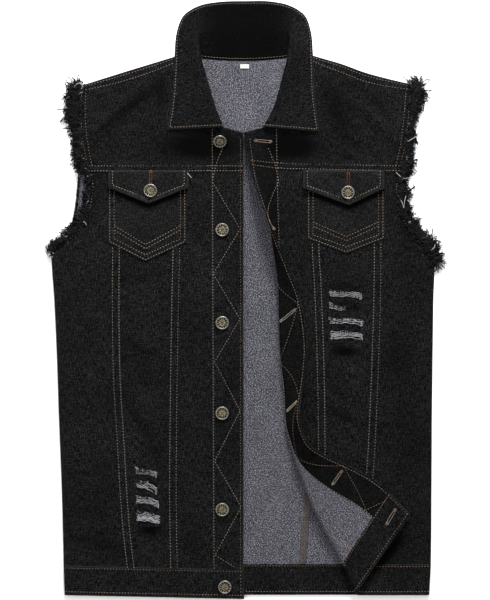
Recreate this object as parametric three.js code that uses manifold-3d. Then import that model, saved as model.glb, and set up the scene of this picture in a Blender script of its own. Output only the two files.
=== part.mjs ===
// Sleeveless denim vest with raw, fringed armholes, lying flat on its back, one front edge turned back.
// Millimetres, +Z up, +Y towards the collar. The origin is on the underside of the back's centre panel.
// "right" and "left" are the wearer's: the right front carries the buttons and lies at -X.
import * as THREE from "three";
import { mergeVertices } from "three/addons/utils/BufferGeometryUtils.js";
import Module from "manifold-3d";

const wasm = await Module();
wasm.setup();

// Cloth
const CLOTH = 1.2;
const DOUBLE = 2.0;
const SEAM_GAP = 0.3;
const LAY_GAP = 0.5;

// Heights of the middle of the front's wall
const FRONT_LIFT = 5.0;
const SIDE_HEIGHT = 2.1;
const HEM_HEIGHT = 3.4;
const SIDE_ROUND = 17;

// Levels along the body
const HEM_Y = -389;
const FRONT_HEM_DROP = 5;
const WAIST_SEAM_Y = -348.5;
const RIGHT_WAIST_SEAM_Y = -350.5;
const WAIST_SEAM_DROP = 5;
const YOKE_SEAM_Y = 173.5;
const YOKE_SEAM_RISE = 4;
const NECKLINE_AT_PLACKET_Y = 235;
const NECKLINE_AT_EDGE_Y = 213;

// Where the yoke seams meet the armholes, and the right front's side seam the hem
const RIGHT_ARMHOLE_X = -212;
const LEFT_ARMHOLE_X = 207;
const RIGHT_SIDE_X = -239;

// Plackets and buttons
const PLACKET_WIDTH = 40.5;
const BUTTON_EDGE_X = -2;
const BUTTON_DIAMETER = 17.5;
const BUTTON_SIDES = 12;

// Grids: rows along the body, columns across each piece
const BODY_ROWS = 27;
const RIGHT_BODY_ROWS = 18;
const WAIST_ROWS = 2;

// Outline of each side, from the hem to the yoke seam and on to the shoulder
const RIGHT_OUTLINE = [
  { y: -394, x: -237.5 },
  { y: -354, x: -239 },
  { y: -252, x: -241.5 },
  { y: -152, x: -245.5 },
  { y: -75, x: -248 },
  { y: 0, x: -251.5 },
  { y: 50, x: -255 },
  { y: 67, x: -254 },
  { y: 79, x: -237.5 },
  { y: 94, x: -220.5 },
  { y: 113, x: -211 },
  { y: 135, x: -206 },
  { y: 158, x: -205 },
  { y: 178, x: -212 },
  { y: 218, x: -219 },
  { y: 257, x: -221 },
  { y: 282, x: -219 },
];
const LEFT_OUTLINE = [
  { y: -394, x: 242.5 },
  { y: -348, x: 245 },
  { y: -252, x: 246 },
  { y: -162, x: 246.5 },
  { y: -75, x: 247.5 },
  { y: 0, x: 248.5 },
  { y: 42, x: 250 },
  { y: 54, x: 249 },
  { y: 74, x: 235 },
  { y: 95, x: 219 },
  { y: 116, x: 207.5 },
  { y: 139, x: 203 },
  { y: 165, x: 206.5 },
  { y: 198, x: 214 },
  { y: 243, x: 220 },
  { y: 284, x: 223 },
];
const RIGHT_BACK_ARMHOLE = [
  { y: 67, x: -254 },
  { y: 80, x: -241.5 },
  { y: 96, x: -231 },
  { y: 119, x: -225 },
  { y: 144, x: -222 },
  { y: 170, x: -220.5 },
  { y: 211, x: -222 },
  { y: 251, x: -222.5 },
  { y: 282, x: -219 },
];
const LEFT_BACK_ARMHOLE = [
  { y: 54, x: 249 },
  { y: 74, x: 239.5 },
  { y: 95, x: 226 },
  { y: 116, x: 216 },
  { y: 139, x: 211.5 },
  { y: 165, x: 212.5 },
  { y: 198, x: 218 },
  { y: 243, x: 222 },
  { y: 284, x: 223 },
];
const RIGHT_SHOULDER = [
  [-219, 282],
  [-160, 300.5],
  [-101, 318.5],
  [-79, 325],
];
const LEFT_SHOULDER = [
  [223, 284],
  [210, 286.5],
  [160, 299.5],
  [127, 311.5],
  [96, 320.5],
  [77, 326],
];

// Panel seams of each front, across the body
const RIGHT_OUTER_SEAM = [
  { y: -360, x: -150 },
  { y: -290, x: -157.5 },
  { y: -177, x: -164.5 },
  { y: -100, x: -169 },
  { y: 0, x: -170.5 },
  { y: 63, x: -170 },
  { y: 180, x: -169.5 },
];
const RIGHT_INNER_SEAM = [
  { y: -360, x: -93.5 },
  { y: -252, x: -95 },
  { y: -127, x: -94 },
  { y: 0, x: -92 },
  { y: 63, x: -90.5 },
  { y: 180, x: -88 },
];
const LEFT_INNER_SEAM = [
  { y: -360, x: 100 },
  { y: -191, x: 101 },
  { y: -82, x: 99.5 },
  { y: 26, x: 95.5 },
  { y: 55, x: 93.5 },
  { y: 180, x: 90 },
];
const LEFT_OUTER_SEAM = [
  { y: -360, x: 153 },
  { y: -222, x: 165 },
  { y: -135, x: 169.5 },
  { y: -54, x: 172.5 },
  { y: 26, x: 174.5 },
  { y: 180, x: 174.5 },
];

// The left front's edge, cut straight from the neck to the hem before it is turned back
const LEFT_EDGE_TOP = { x: 2.6, y: 212.5 };
const LEFT_EDGE_HEM = { x: 15.2, y: -385.5 };

// How the left front's edge is turned back: a row for each cut level. holdX is where the cloth leaves the
// flat, edgeX, edgeY and edgeZ are where its edge comes to lie, axis is the roll's lean in degrees.
const TURNED_EDGE = [
  { y: 240, holdX: 30, edgeX: 2, edgeY: 240, edgeZ: 0, radius: 12, axis: 8 },
  { y: 212, holdX: 31, edgeX: 2.5, edgeY: 212.5, edgeZ: 0.5, radius: 12, axis: 8 },
  { y: 180, holdX: 37, edgeX: 6, edgeY: 182.5, edgeZ: 8, radius: 12, axis: 12 },
  { y: 150, holdX: 41, edgeX: 11, edgeY: 155, edgeZ: 16, radius: 11, axis: 15 },
  { y: 88, holdX: 46, edgeX: 30, edgeY: 104, edgeZ: 28, radius: 10, axis: 20 },
  { y: 22, holdX: 52, edgeX: 57.5, edgeY: 39.5, edgeZ: 23, radius: 7, axis: 19 },
  { y: -21, holdX: 51.5, edgeX: 72.5, edgeY: 2.5, edgeZ: 15, radius: 5.5, axis: 18 },
  { y: -77, holdX: 52.5, edgeX: 81.5, edgeY: -53.5, edgeZ: 10, radius: 4.5, axis: 17.5 },
  { y: -115, holdX: 57, edgeX: 79, edgeY: -92.5, edgeZ: 13, radius: 4.5, axis: 17.5 },
  { y: -161, holdX: 60.5, edgeX: 71.5, edgeY: -141, edgeZ: 23, radius: 5, axis: 18 },
  { y: -185, holdX: 65, edgeX: 71.5, edgeY: -160, edgeZ: 27, radius: 5, axis: 18 },
  { y: -210, holdX: 71.5, edgeX: 82, edgeY: -187, edgeZ: 25, radius: 5, axis: 19 },
  { y: -240, holdX: 82, edgeX: 103.5, edgeY: -202.5, edgeZ: 17, radius: 5, axis: 22 },
  { y: -278, holdX: 97, edgeX: 135, edgeY: -217, edgeZ: 11, radius: 4.5, axis: 26 },
  { y: -317, holdX: 118, edgeX: 167, edgeY: -234, edgeZ: 9, radius: 4.5, axis: 27 },
  { y: -346, holdX: 133.5, edgeX: 187, edgeY: -250, edgeZ: 8, radius: 4.5, axis: 27 },
  { y: -388, holdX: 152, edgeX: 217.5, edgeY: -282, edgeZ: 7.5, radius: 4.5, axis: 27 },
];

// Soft swells of the fronts: centre, half-length along angle, half-width across it, height
const SWELLS = [
  { x: -165, y: 250, long: 60, wide: 16, angle: 38, height: 1.8 },
  { x: -120, y: 225, long: 45, wide: 14, angle: 30, height: 1.2 },
  { x: 150, y: 255, long: 60, wide: 16, angle: -36, height: 1.8 },
  { x: 115, y: 225, long: 40, wide: 14, angle: -28, height: 1.2 },
  { x: -215, y: -40, long: 90, wide: 18, angle: 80, height: 1.4 },
  { x: -130, y: -60, long: 50, wide: 16, angle: 25, height: 1.2 },
  { x: -120, y: -150, long: 55, wide: 16, angle: 155, height: 1.1 },
  { x: -200, y: -250, long: 70, wide: 20, angle: 20, height: 1.3 },
  { x: 210, y: -60, long: 80, wide: 18, angle: 100, height: 1.4 },
  { x: 205, y: -220, long: 70, wide: 18, angle: 95, height: 1.3 },
  { x: 125, y: -100, long: 45, wide: 15, angle: 150, height: 1.1 },
];

// Neckline of the fronts, from the shoulder down to the front edge
const RIGHT_NECKLINE = [
  [-79, 325],
  [-82, 313],
  [-80, 290],
  [-73, 267],
  [-58, 247],
  [-43.5, 235],
];
const LEFT_NECKLINE = [
  [77, 326],
  [80, 313],
  [78, 290],
  [71, 267],
  [57, 248],
  [43.5, 237],
];
const BACK_NECKLINE = [
  [77, 326],
  [66, 320.5],
  [54, 317.5],
  [31, 315],
  [0, 313.5],
  [-28, 314],
  [-58, 317],
  [-69, 320],
  [-79, 325],
];

// Collar, a row for each section from the right tip round the back to the left tip: its seam to the neck,
// the ridge it rolls over (fold 1) or lies along (fold 0), and its free edge.
const COLLAR_GAP = 0.8;
const COLLAR_ROLL = 2.7;
const NECK_COLUMNS = ["neckX", "neckY", "neckZ"];
const RIDGE_COLUMNS = ["ridgeX", "ridgeY", "ridgeZ", "fold"];
const COLLAR_COLUMNS = [...NECK_COLUMNS, ...RIDGE_COLUMNS, "edgeX", "edgeY", "edgeZ"];
const COLLAR = [
  [-31, 229, 5.2, -29, 227.5, 8.2, 1, -102, 224, 8.3],
  [-45, 238, 5.2, -34, 240, 8.6, 1, -100.5, 236, 8.3],
  [-61, 253, 5.2, -39, 252, 9, 1, -98, 251, 8.3],
  [-73.5, 272, 5, -45, 272, 9.8, 1, -95.5, 273, 8.3],
  [-79.5, 296, 4.8, -51.5, 294, 11.5, 1, -94, 297, 8.3],
  [-80, 314, 4.2, -57, 313, 13.5, 0.95, -92.5, 324, 6.5],
  [-75, 323, 2.6, -60.5, 333, 15, 0.7, -90, 353, 4.5],
  [-67, 321, 1.4, -61, 347, 13, 0.35, -81, 375, 3],
  [-54, 318, 1.3, -56, 356, 7, 0, -61, 388, 2],
  [-30, 315.5, 1.3, -31, 355, 3.6, 0, -33, 393.5, 1.4],
  [0, 314.7, 1.3, 0, 354, 3, 0, 0, 394.5, 1.4],
  [29, 316, 1.3, 32, 355, 3.6, 0, 34, 394, 1.4],
  [52, 318.5, 1.3, 55, 356, 7, 0, 60, 388, 2],
  [64.5, 321.5, 1.4, 59, 347, 13, 0.35, 79, 375, 3],
  [73, 324, 2.6, 58.5, 333, 15, 0.7, 87, 353, 4.5],
  [78, 314, 4.2, 55, 313, 13.5, 0.95, 89.5, 324, 6.5],
  [77.5, 296, 4.8, 50, 294, 11.5, 1, 90.5, 297, 8.3],
  [71.5, 272, 5, 44.5, 272, 9.8, 1, 91.5, 273, 8.3],
  [59, 253, 5.2, 38, 252, 9, 1, 94, 250, 8.3],
  [43, 240, 5.2, 32, 240, 8.6, 1, 96, 234, 8.3],
  [26, 229, 5.2, 24, 228, 8.2, 1, 98, 221.5, 8.3],
].map((row) => Object.fromEntries(COLLAR_COLUMNS.map((column, i) => [column, row[i]])));

// Chest pockets and their flaps, each an outline of corners: bottom point, sides and top
const RIGHT_POCKET = { left: -180, right: -77.5, top: 160, side: 76, tipX: -131, tipY: 51 };
const LEFT_POCKET = { left: 82, right: 183.5, top: 160, side: 81, tipX: 133.5, tipY: 61.5 };
const RIGHT_FLAP = { left: -180, right: -74.5, top: 171, side: 148, tipX: -127, tipY: 126.5 };
const LEFT_FLAP = { left: 76.5, right: 183.5, top: 171, side: 147, tipX: 137, tipY: 124.5 };

// Buttons, each at its centre on the cloth, with its lean in degrees about X
const PLACKET_BUTTONS = [
  { x: -33, y: 209.5, lean: 28 },
  { x: -30, y: 92.5, lean: 0 },
  { x: -30, y: -30, lean: 0 },
  { x: -30, y: -149, lean: 0 },
  { x: -30, y: -276, lean: 0 },
  { x: -26.5, y: -378, lean: 0 },
];
const FLAP_BUTTONS = {
  right: { x: -124.5, y: 144 },
  left: { x: 135.5, y: 141.5 },
};

// Rips, cut through the middle panels: x and y of each slit's ends and its height
const RIGHT_RIPS = [
  { x0: -143, x1: -117.5, y: -228, height: 10 },
  { x0: -142.5, x1: -116.5, y: -246, height: 16 },
  { x0: -142, x1: -115.5, y: -266, height: 14 },
  { x0: -141.5, x1: -114, y: -288.5, height: 17 },
];
const LEFT_RIPS = [
  { x0: 113, x1: 152, y: 7, height: 11 },
  { x0: 112, x1: 150.5, y: -11.5, height: 8 },
  { x0: 113, x1: 154.5, y: -28.5, height: 10 },
  { x0: 114.5, x1: 154, y: -47.5, height: 14 },
];

// Back seams and label
const BACK_SEAM_TOP_X = 122;
const BACK_SEAM_WAIST_X = 81;
const LABEL = { x0: -6.5, x1: 5.5, y0: 305, y1: 311, thickness: 0.6 };

// Fringe
const FRINGE_INNER = 0.9;
const FRINGE_OUTER = 3.6;
const FRINGE_ROOT = 2.4;
const FRINGE_TURN = 0.7;
const FRINGE_FAN = 1.1;
const FRINGE_STRANDS = 44;
const STRAND_TIP = 0.55;

// Colours
const BLACK_DENIM = new THREE.Color("#16161a");
const GREY_REVERSE = new THREE.Color("#6c6c74");
const BLACK_THREAD = new THREE.Color("#0f0f12");
const OLD_BRASS = new THREE.Color("#8d857a");
const WHITE_TAPE = new THREE.Color("#e6e6e2");

const finish = (color, roughness, metalness = 0) =>
  new THREE.MeshStandardMaterial({ color, roughness, metalness });
const denim = () => finish(BLACK_DENIM, 0.92);
const reverse = () => finish(GREY_REVERSE, 0.95);
const frayed = () => finish(BLACK_THREAD, 0.95);
const metal = () => finish(OLD_BRASS, 0.42, 0.9);
const tape = () => finish(WHITE_TAPE, 0.85);

const mix = (a, b, t) => a + (b - a) * t;
const clamp01 = (t) => Math.min(1, Math.max(0, t));
const ease = (t) => clamp01(t) ** 2 * (3 - 2 * clamp01(t));
const radians = (degrees) => (degrees * Math.PI) / 180;

// Smooth value of one column of a table whose rows are in order of y, rising or falling.
function valueAt(table, column, y) {
  const rows = table[0].y < table[table.length - 1].y ? table : [...table].reverse();
  const last = rows.length - 1;
  if (y <= rows[0].y) return rows[0][column];
  if (y >= rows[last].y) return rows[last][column];
  const i = rows.findIndex((row, k) => k < last && y >= row.y && y < rows[k + 1].y);
  const slope = (k) => {
    const a = rows[Math.max(0, k - 1)];
    const b = rows[Math.min(last, k + 1)];
    return (b[column] - a[column]) / (b.y - a.y);
  };
  const span = rows[i + 1].y - rows[i].y;
  const t = (y - rows[i].y) / span;
  const start = rows[i][column];
  const end = rows[i + 1][column];
  return (
    start * (2 * t ** 3 - 3 * t ** 2 + 1) +
    end * (3 * t ** 2 - 2 * t ** 3) +
    slope(i) * span * (t ** 3 - 2 * t ** 2 + t) +
    slope(i + 1) * span * (t ** 3 - t ** 2)
  );
}

// Point at share t of the length of a list of [x, y] corners.
function alongPolyline(points, t) {
  const lengths = points.slice(1).map((p, i) => Math.hypot(p[0] - points[i][0], p[1] - points[i][1]));
  let left = t * lengths.reduce((a, b) => a + b, 0);
  let i = 0;
  while (i < lengths.length - 1 && left > lengths[i]) {
    left -= lengths[i];
    i += 1;
  }
  const share = left / lengths[i];
  return [mix(points[i][0], points[i + 1][0], share), mix(points[i][1], points[i + 1][1], share)];
}

const smoothLine = (points, count) =>
  new THREE.SplineCurve(points.map(([x, y]) => new THREE.Vector2(x, y)))
    .getPoints(count)
    .map((p) => [p.x, p.y]);

function distanceToPolyline(points, x, y) {
  let nearest = Infinity;
  for (let i = 0; i + 1 < points.length; i += 1) {
    const [ax, ay] = points[i];
    const [bx, by] = points[i + 1];
    const span = (bx - ax) ** 2 + (by - ay) ** 2;
    const t = clamp01(((x - ax) * (bx - ax) + (y - ay) * (by - ay)) / span);
    nearest = Math.min(nearest, Math.hypot(x - mix(ax, bx, t), y - mix(ay, by, t)));
  }
  return nearest;
}

// Height of the middle of a front's wall: low at the side seam, armhole and shoulder, rounding up inwards.
const CLOSED_EDGES = {
  right: [...RIGHT_OUTLINE.map((row) => [row.x, row.y]), ...RIGHT_SHOULDER.slice(1)],
  left: [...LEFT_OUTLINE.map((row) => [row.x, row.y]), ...LEFT_SHOULDER.slice(1)],
};

function swellAt(x, y) {
  let height = 0;
  for (const swell of SWELLS) {
    const turn = radians(swell.angle);
    const along = (x - swell.x) * Math.cos(turn) + (y - swell.y) * Math.sin(turn);
    const across = (y - swell.y) * Math.cos(turn) - (x - swell.x) * Math.sin(turn);
    height += swell.height * Math.exp(-((along / swell.long) ** 2) - (across / swell.wide) ** 2);
  }
  return height;
}

function frontHeight(side, x, y) {
  const inward = clamp01(distanceToPolyline(CLOSED_EDGES[side], x, y) / SIDE_ROUND);
  const rounded = Math.sqrt(1 - (1 - inward) ** 2);
  const low = mix(HEM_HEIGHT, SIDE_HEIGHT, ease((y - WAIST_SEAM_Y - 4) / 22));
  return mix(low, FRONT_LIFT + swellAt(x, y), rounded);
}

// A front's cut edges at each level, and the level of its seams at each place across.
const leftCutEdge = (y) =>
  mix(LEFT_EDGE_TOP.x, LEFT_EDGE_HEM.x, (LEFT_EDGE_TOP.y - y) / (LEFT_EDGE_TOP.y - LEFT_EDGE_HEM.y));
const acrossRight = (x) => clamp01((x - RIGHT_SIDE_X) / (BUTTON_EDGE_X - RIGHT_SIDE_X));
const waistSeam = {
  right: (x) => RIGHT_WAIST_SEAM_Y - WAIST_SEAM_DROP * acrossRight(x),
  left: () => WAIST_SEAM_Y,
};
const yokeSeam = {
  right: () => YOKE_SEAM_Y,
  left: (x) => YOKE_SEAM_Y + YOKE_SEAM_RISE * (1 - clamp01(x / LEFT_ARMHOLE_X)),
};
const hem = {
  right: (x) => HEM_Y - FRONT_HEM_DROP * acrossRight(x),
  left: () => HEM_Y,
};

// Where a roll of a given radius, starting at (0, 0) and going to -X, ends in a straight run to a target.
function rollTo(targetX, targetZ, radius) {
  const reach = Math.max(Math.hypot(targetX, targetZ - radius), radius * 1.001);
  const turnAll = Math.PI - Math.atan2(targetZ - radius, targetX) + Math.asin(radius / reach);
  const turn = turnAll > 1.9 * Math.PI ? Math.max(0, turnAll - 2 * Math.PI) : turnAll;
  const straight = Math.sqrt(reach ** 2 - radius ** 2);
  return { turn, straight, length: radius * turn + straight };
}

// Middle of the left front's wall at a place of the flat cut, with its edge turned back.
function leftMiddle(x, y) {
  const holdX = valueAt(TURNED_EDGE, "holdX", y);
  if (x >= holdX) return new THREE.Vector3(x, y, frontHeight("left", x, y));
  const radius = valueAt(TURNED_EDGE, "radius", y);
  const lean = radians(valueAt(TURNED_EDGE, "axis", y));
  const awayX = valueAt(TURNED_EDGE, "edgeX", y) - holdX;
  const awayY = valueAt(TURNED_EDGE, "edgeY", y) - y;
  const inward = awayX * Math.cos(lean) + awayY * Math.sin(lean);
  const drift = awayY * Math.cos(lean) - awayX * Math.sin(lean);
  const roll = rollTo(inward, valueAt(TURNED_EDGE, "edgeZ", y), radius);
  const share = (holdX - x) / (holdX - leftCutEdge(y));
  const gone = share * roll.length;
  const arc = Math.min(roll.turn, gone / radius);
  const run = Math.max(0, gone - radius * roll.turn);
  const moved = -radius * Math.sin(arc) - run * Math.cos(arc);
  const up = radius * (1 - Math.cos(arc)) + run * Math.sin(arc);
  const slid = drift * share;
  return new THREE.Vector3(
    holdX + moved * Math.cos(lean) - slid * Math.sin(lean),
    y + moved * Math.sin(lean) + slid * Math.cos(lean),
    frontHeight("left", holdX, y) + up,
  );
}

// The same, moved out along the cloth's own normal.
const PROBE = 0.4;
function placeLeft(x, y, out) {
  const middle = leftMiddle(x, y);
  const across = leftMiddle(x + PROBE, y).sub(leftMiddle(x - PROBE, y));
  const along = leftMiddle(x, y + PROBE).sub(leftMiddle(x, y - PROBE));
  return middle.addScaledVector(across.cross(along).normalize(), out);
}
const placeRight = (x, y, out) => new THREE.Vector3(x, y, frontHeight("right", x, y) + out);
const place = { right: placeRight, left: placeLeft };

// Columns of one row, closer together where the left front rolls over.
const ROLL_DENSITY = 6;
function columns(side, x0, x1, y, count) {
  const even = Array.from({ length: count + 1 }, (_, i) => mix(x0, x1, i / count));
  if (side === "right") return even;
  const holdX = valueAt(TURNED_EDGE, "holdX", y);
  const radius = valueAt(TURNED_EDGE, "radius", y);
  const rollX = holdX - Math.PI * radius * 1.15;
  const steps = 160;
  const weights = Array.from({ length: steps }, (_, i) => {
    const x = mix(x0, x1, (i + 0.5) / steps);
    return x > rollX && x < holdX + 1 ? ROLL_DENSITY : 1;
  });
  const total = weights.reduce((a, b) => a + b, 0);
  const out = [x0];
  let sum = 0;
  for (let i = 0; i < steps; i += 1) {
    sum += weights[i];
    while (out.length < count && sum >= (total * out.length) / count) out.push(mix(x0, x1, (i + 1) / steps));
  }
  while (out.length < count) out.push(mix(out[out.length - 1], x1, 0.5));
  out.push(x1);
  return out;
}

// A closed wall over a grid of flat points: rows of [x, y], its two faces at the given distances out.
function wall(rows, low, high, placeAt) {
  const width = rows[0].length;
  const points = [];
  for (const out of [low, high]) {
    for (const row of rows) for (const [x, y] of row) points.push(placeAt(x, y, out));
  }
  return closedGrid(points, rows.length, width);
}

// A closed geometry from two grids of points, the lower one first; each grid runs +X, then +Y.
function closedGrid(points, height, width) {
  const layer = height * width;
  const faces = [];
  const quad = (a, b, c, d) => faces.push(a, b, c, a, c, d);
  for (let j = 0; j + 1 < height; j += 1) {
    for (let i = 0; i + 1 < width; i += 1) {
      const a = j * width + i;
      quad(layer + a, layer + a + 1, layer + a + width + 1, layer + a + width);
      quad(a, a + width, a + width + 1, a + 1);
    }
  }
  for (let i = 0; i + 1 < width; i += 1) {
    const top = (height - 1) * width + i;
    quad(i, i + 1, layer + i + 1, layer + i);
    quad(top + 1, top, layer + top, layer + top + 1);
  }
  for (let j = 0; j + 1 < height; j += 1) {
    const a = j * width;
    const b = a + width - 1;
    quad(a + width, a, layer + a, layer + a + width);
    quad(b, b + width, layer + b + width, layer + b);
  }
  const geometry = new THREE.BufferGeometry().setFromPoints(points);
  geometry.setIndex(faces);
  return geometry;
}

// Rows crowd towards the armhole: the upper part of the body has more of them than its height's share.
const ARMHOLE_ROWS = 0.4;
const ARMHOLE_HEIGHT = 0.25;
function rowShare(t) {
  const below = 1 - ARMHOLE_ROWS;
  if (t < below) return (t / below) * (1 - ARMHOLE_HEIGHT);
  return mix(1 - ARMHOLE_HEIGHT, 1, (t - below) / ARMHOLE_ROWS);
}

// One body panel of a front, between two lines down the body, from the waist seam to the yoke seam.
function bodyRows(side, lineA, lineB, rowCount, columnCount) {
  const rows = [];
  for (let j = 0; j <= rowCount; j += 1) {
    const v = rowShare(j / rowCount);
    const level = (x) => {
      const low = waistSeam[side](x) + SEAM_GAP / 2;
      const high = yokeSeam[side](x) - SEAM_GAP / 2;
      return mix(low, high, v);
    };
    const guess = mix(WAIST_SEAM_Y, YOKE_SEAM_Y, v);
    const yA = level(lineA(guess));
    const yB = level(lineB(guess));
    const xs = columns(side, lineA(yA), lineB(yB), (yA + yB) / 2, columnCount);
    rows.push(xs.map((x) => [x, level(x)]));
  }
  return rows;
}

const seamLine = (table, shift) => (y) => valueAt(table, "x", y) + shift;
const HALF_GAP = SEAM_GAP / 2;
const PLACKET_TAPER = 0.004;
const placketLine = {
  right: (y) => BUTTON_EDGE_X - PLACKET_WIDTH + PLACKET_TAPER * (WAIST_SEAM_Y - y),
  left: (y) => leftCutEdge(y) + PLACKET_WIDTH,
};

// Coons patch between four lines of [x, y], each a function of 0 to 1.
function coonsRows(bottom, top, left, right, rowCount, columnCount) {
  const rows = [];
  for (let j = 0; j <= rowCount; j += 1) {
    const v = j / rowCount;
    const row = [];
    for (let i = 0; i <= columnCount; i += 1) {
      const u = i / columnCount;
      row.push(
        [0, 1].map(
          (k) =>
            mix(bottom(u)[k], top(u)[k], v) +
            mix(left(v)[k], right(v)[k], u) -
            mix(mix(bottom(0)[k], bottom(1)[k], u), mix(top(0)[k], top(1)[k], u), v),
        ),
      );
    }
    rows.push(row);
  }
  return rows;
}

const meshes = [];
function add(name, geometry, material) {
  geometry.computeVertexNormals();
  const mesh = new THREE.Mesh(geometry, material);
  mesh.name = name;
  meshes.push(mesh);
  return mesh;
}

// Solids for joining and cutting
function solid(geometry) {
  const bare = new THREE.BufferGeometry().setAttribute("position", geometry.getAttribute("position"));
  if (geometry.index) bare.setIndex(geometry.index);
  const merged = mergeVertices(bare, 1e-4);
  return new wasm.Manifold(
    new wasm.Mesh({
      numProp: 3,
      vertProperties: new Float32Array(merged.attributes.position.array),
      triVerts: new Uint32Array(merged.index.array),
    }),
  );
}

function geometryOf(manifold) {
  const mesh = manifold.getMesh();
  const geometry = new THREE.BufferGeometry();
  geometry.setAttribute("position", new THREE.BufferAttribute(new Float32Array(mesh.vertProperties), 3));
  geometry.setIndex(new THREE.BufferAttribute(new Uint32Array(mesh.triVerts), 1));
  return geometry;
}

// A rip: a slit with ragged ends and uneven edges, cut straight down.
function ripCutter({ x0, x1, y, height }, index) {
  const half = height / 2;
  const wave = (k) => 0.16 * half * Math.sin(2.4 * k + 1.7 * index);
  const steps = 5;
  const shape = new THREE.Shape();
  shape.moveTo(x0, y + wave(1));
  for (let i = 1; i < steps; i += 1) shape.lineTo(mix(x0, x1, i / steps), y - half + wave(i));
  shape.lineTo(x1, y - wave(2));
  for (let i = steps - 1; i > 0; i -= 1) shape.lineTo(mix(x0, x1, i / steps), y + half + wave(i + 7));
  shape.closePath();
  return new THREE.ExtrudeGeometry(shape, { depth: 20, bevelEnabled: false });
}

function cutRips(geometry, rips) {
  let body = solid(geometry);
  rips.forEach((rip, index) => {
    body = body.subtract(solid(ripCutter(rip, index)));
  });
  return geometryOf(body);
}

// Flat pieces of the back, lying on the surface
function flatPiece(points, thickness, z = 0) {
  const shape = new THREE.Shape(points.map(([x, y]) => new THREE.Vector2(x, y)));
  const geometry = new THREE.ExtrudeGeometry(shape, { depth: thickness, bevelEnabled: false });
  return geometry.translate(0, 0, z);
}

function outlinePart(table, low, high) {
  const steps = Math.max(2, Math.round((high - low) / 16));
  return Array.from({ length: steps + 1 }, (_, i) => {
    const y = mix(low, high, i / steps);
    return [valueAt(table, "x", y), y];
  });
}

function makeBack() {
  const underarm = { right: RIGHT_BACK_ARMHOLE[0].y, left: LEFT_BACK_ARMHOLE[0].y };
  const seam = YOKE_SEAM_Y;
  const seamX = (y) =>
    mix(BACK_SEAM_WAIST_X, BACK_SEAM_TOP_X, (y - WAIST_SEAM_Y) / (seam - WAIST_SEAM_Y));
  const waist = WAIST_SEAM_Y + HALF_GAP;
  const under = seam - HALF_GAP;
  const over = seam + HALF_GAP;
  const shoulderRight = outlinePart(RIGHT_BACK_ARMHOLE, over, 282);
  const shoulderLeft = outlinePart(LEFT_BACK_ARMHOLE, over, 284);
  const neck = smoothLine(BACK_NECKLINE, 20);
  const overLeft = [...shoulderLeft, ...LEFT_SHOULDER.slice(1, -1)];
  const overRight = [...RIGHT_SHOULDER.slice(1, -1).reverse(), ...shoulderRight.reverse()];
  add("back_yoke", flatPiece([...overLeft, ...neck, ...overRight], CLOTH), reverse());
  add(
    "back_center",
    flatPiece(
      [
        [-seamX(waist) + HALF_GAP, waist],
        [seamX(waist) - HALF_GAP, waist],
        [seamX(under) - HALF_GAP, under],
        [-seamX(under) + HALF_GAP, under],
      ],
      CLOTH,
    ),
    reverse(),
  );
  const sideRight = [
    ...outlinePart(RIGHT_OUTLINE, waist, underarm.right),
    ...outlinePart(RIGHT_BACK_ARMHOLE, underarm.right, under).slice(1),
  ];
  add(
    "back_side_right",
    flatPiece(
      [[-seamX(waist) - HALF_GAP, waist], [-seamX(under) - HALF_GAP, under], ...sideRight.reverse()],
      CLOTH,
    ),
    reverse(),
  );
  const sideLeft = [
    ...outlinePart(LEFT_OUTLINE, waist, underarm.left),
    ...outlinePart(LEFT_BACK_ARMHOLE, underarm.left, under).slice(1),
  ];
  add(
    "back_side_left",
    flatPiece([[seamX(under) + HALF_GAP, under], [seamX(waist) + HALF_GAP, waist], ...sideLeft], CLOTH),
    reverse(),
  );
  const band = WAIST_SEAM_Y - HALF_GAP;
  add(
    "back_waistband",
    flatPiece(
      [
        [valueAt(RIGHT_OUTLINE, "x", HEM_Y), HEM_Y],
        [valueAt(LEFT_OUTLINE, "x", HEM_Y), HEM_Y],
        [valueAt(LEFT_OUTLINE, "x", band), band],
        [valueAt(RIGHT_OUTLINE, "x", band), band],
      ],
      DOUBLE,
    ),
    denim(),
  );
  add(
    "neck_label",
    flatPiece(
      [
        [LABEL.x0, LABEL.y0],
        [LABEL.x1, LABEL.y0],
        [LABEL.x1, LABEL.y1],
        [LABEL.x0, LABEL.y1],
      ],
      LABEL.thickness,
      CLOTH + SEAM_GAP,
    ),
    tape(),
  );
}

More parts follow.
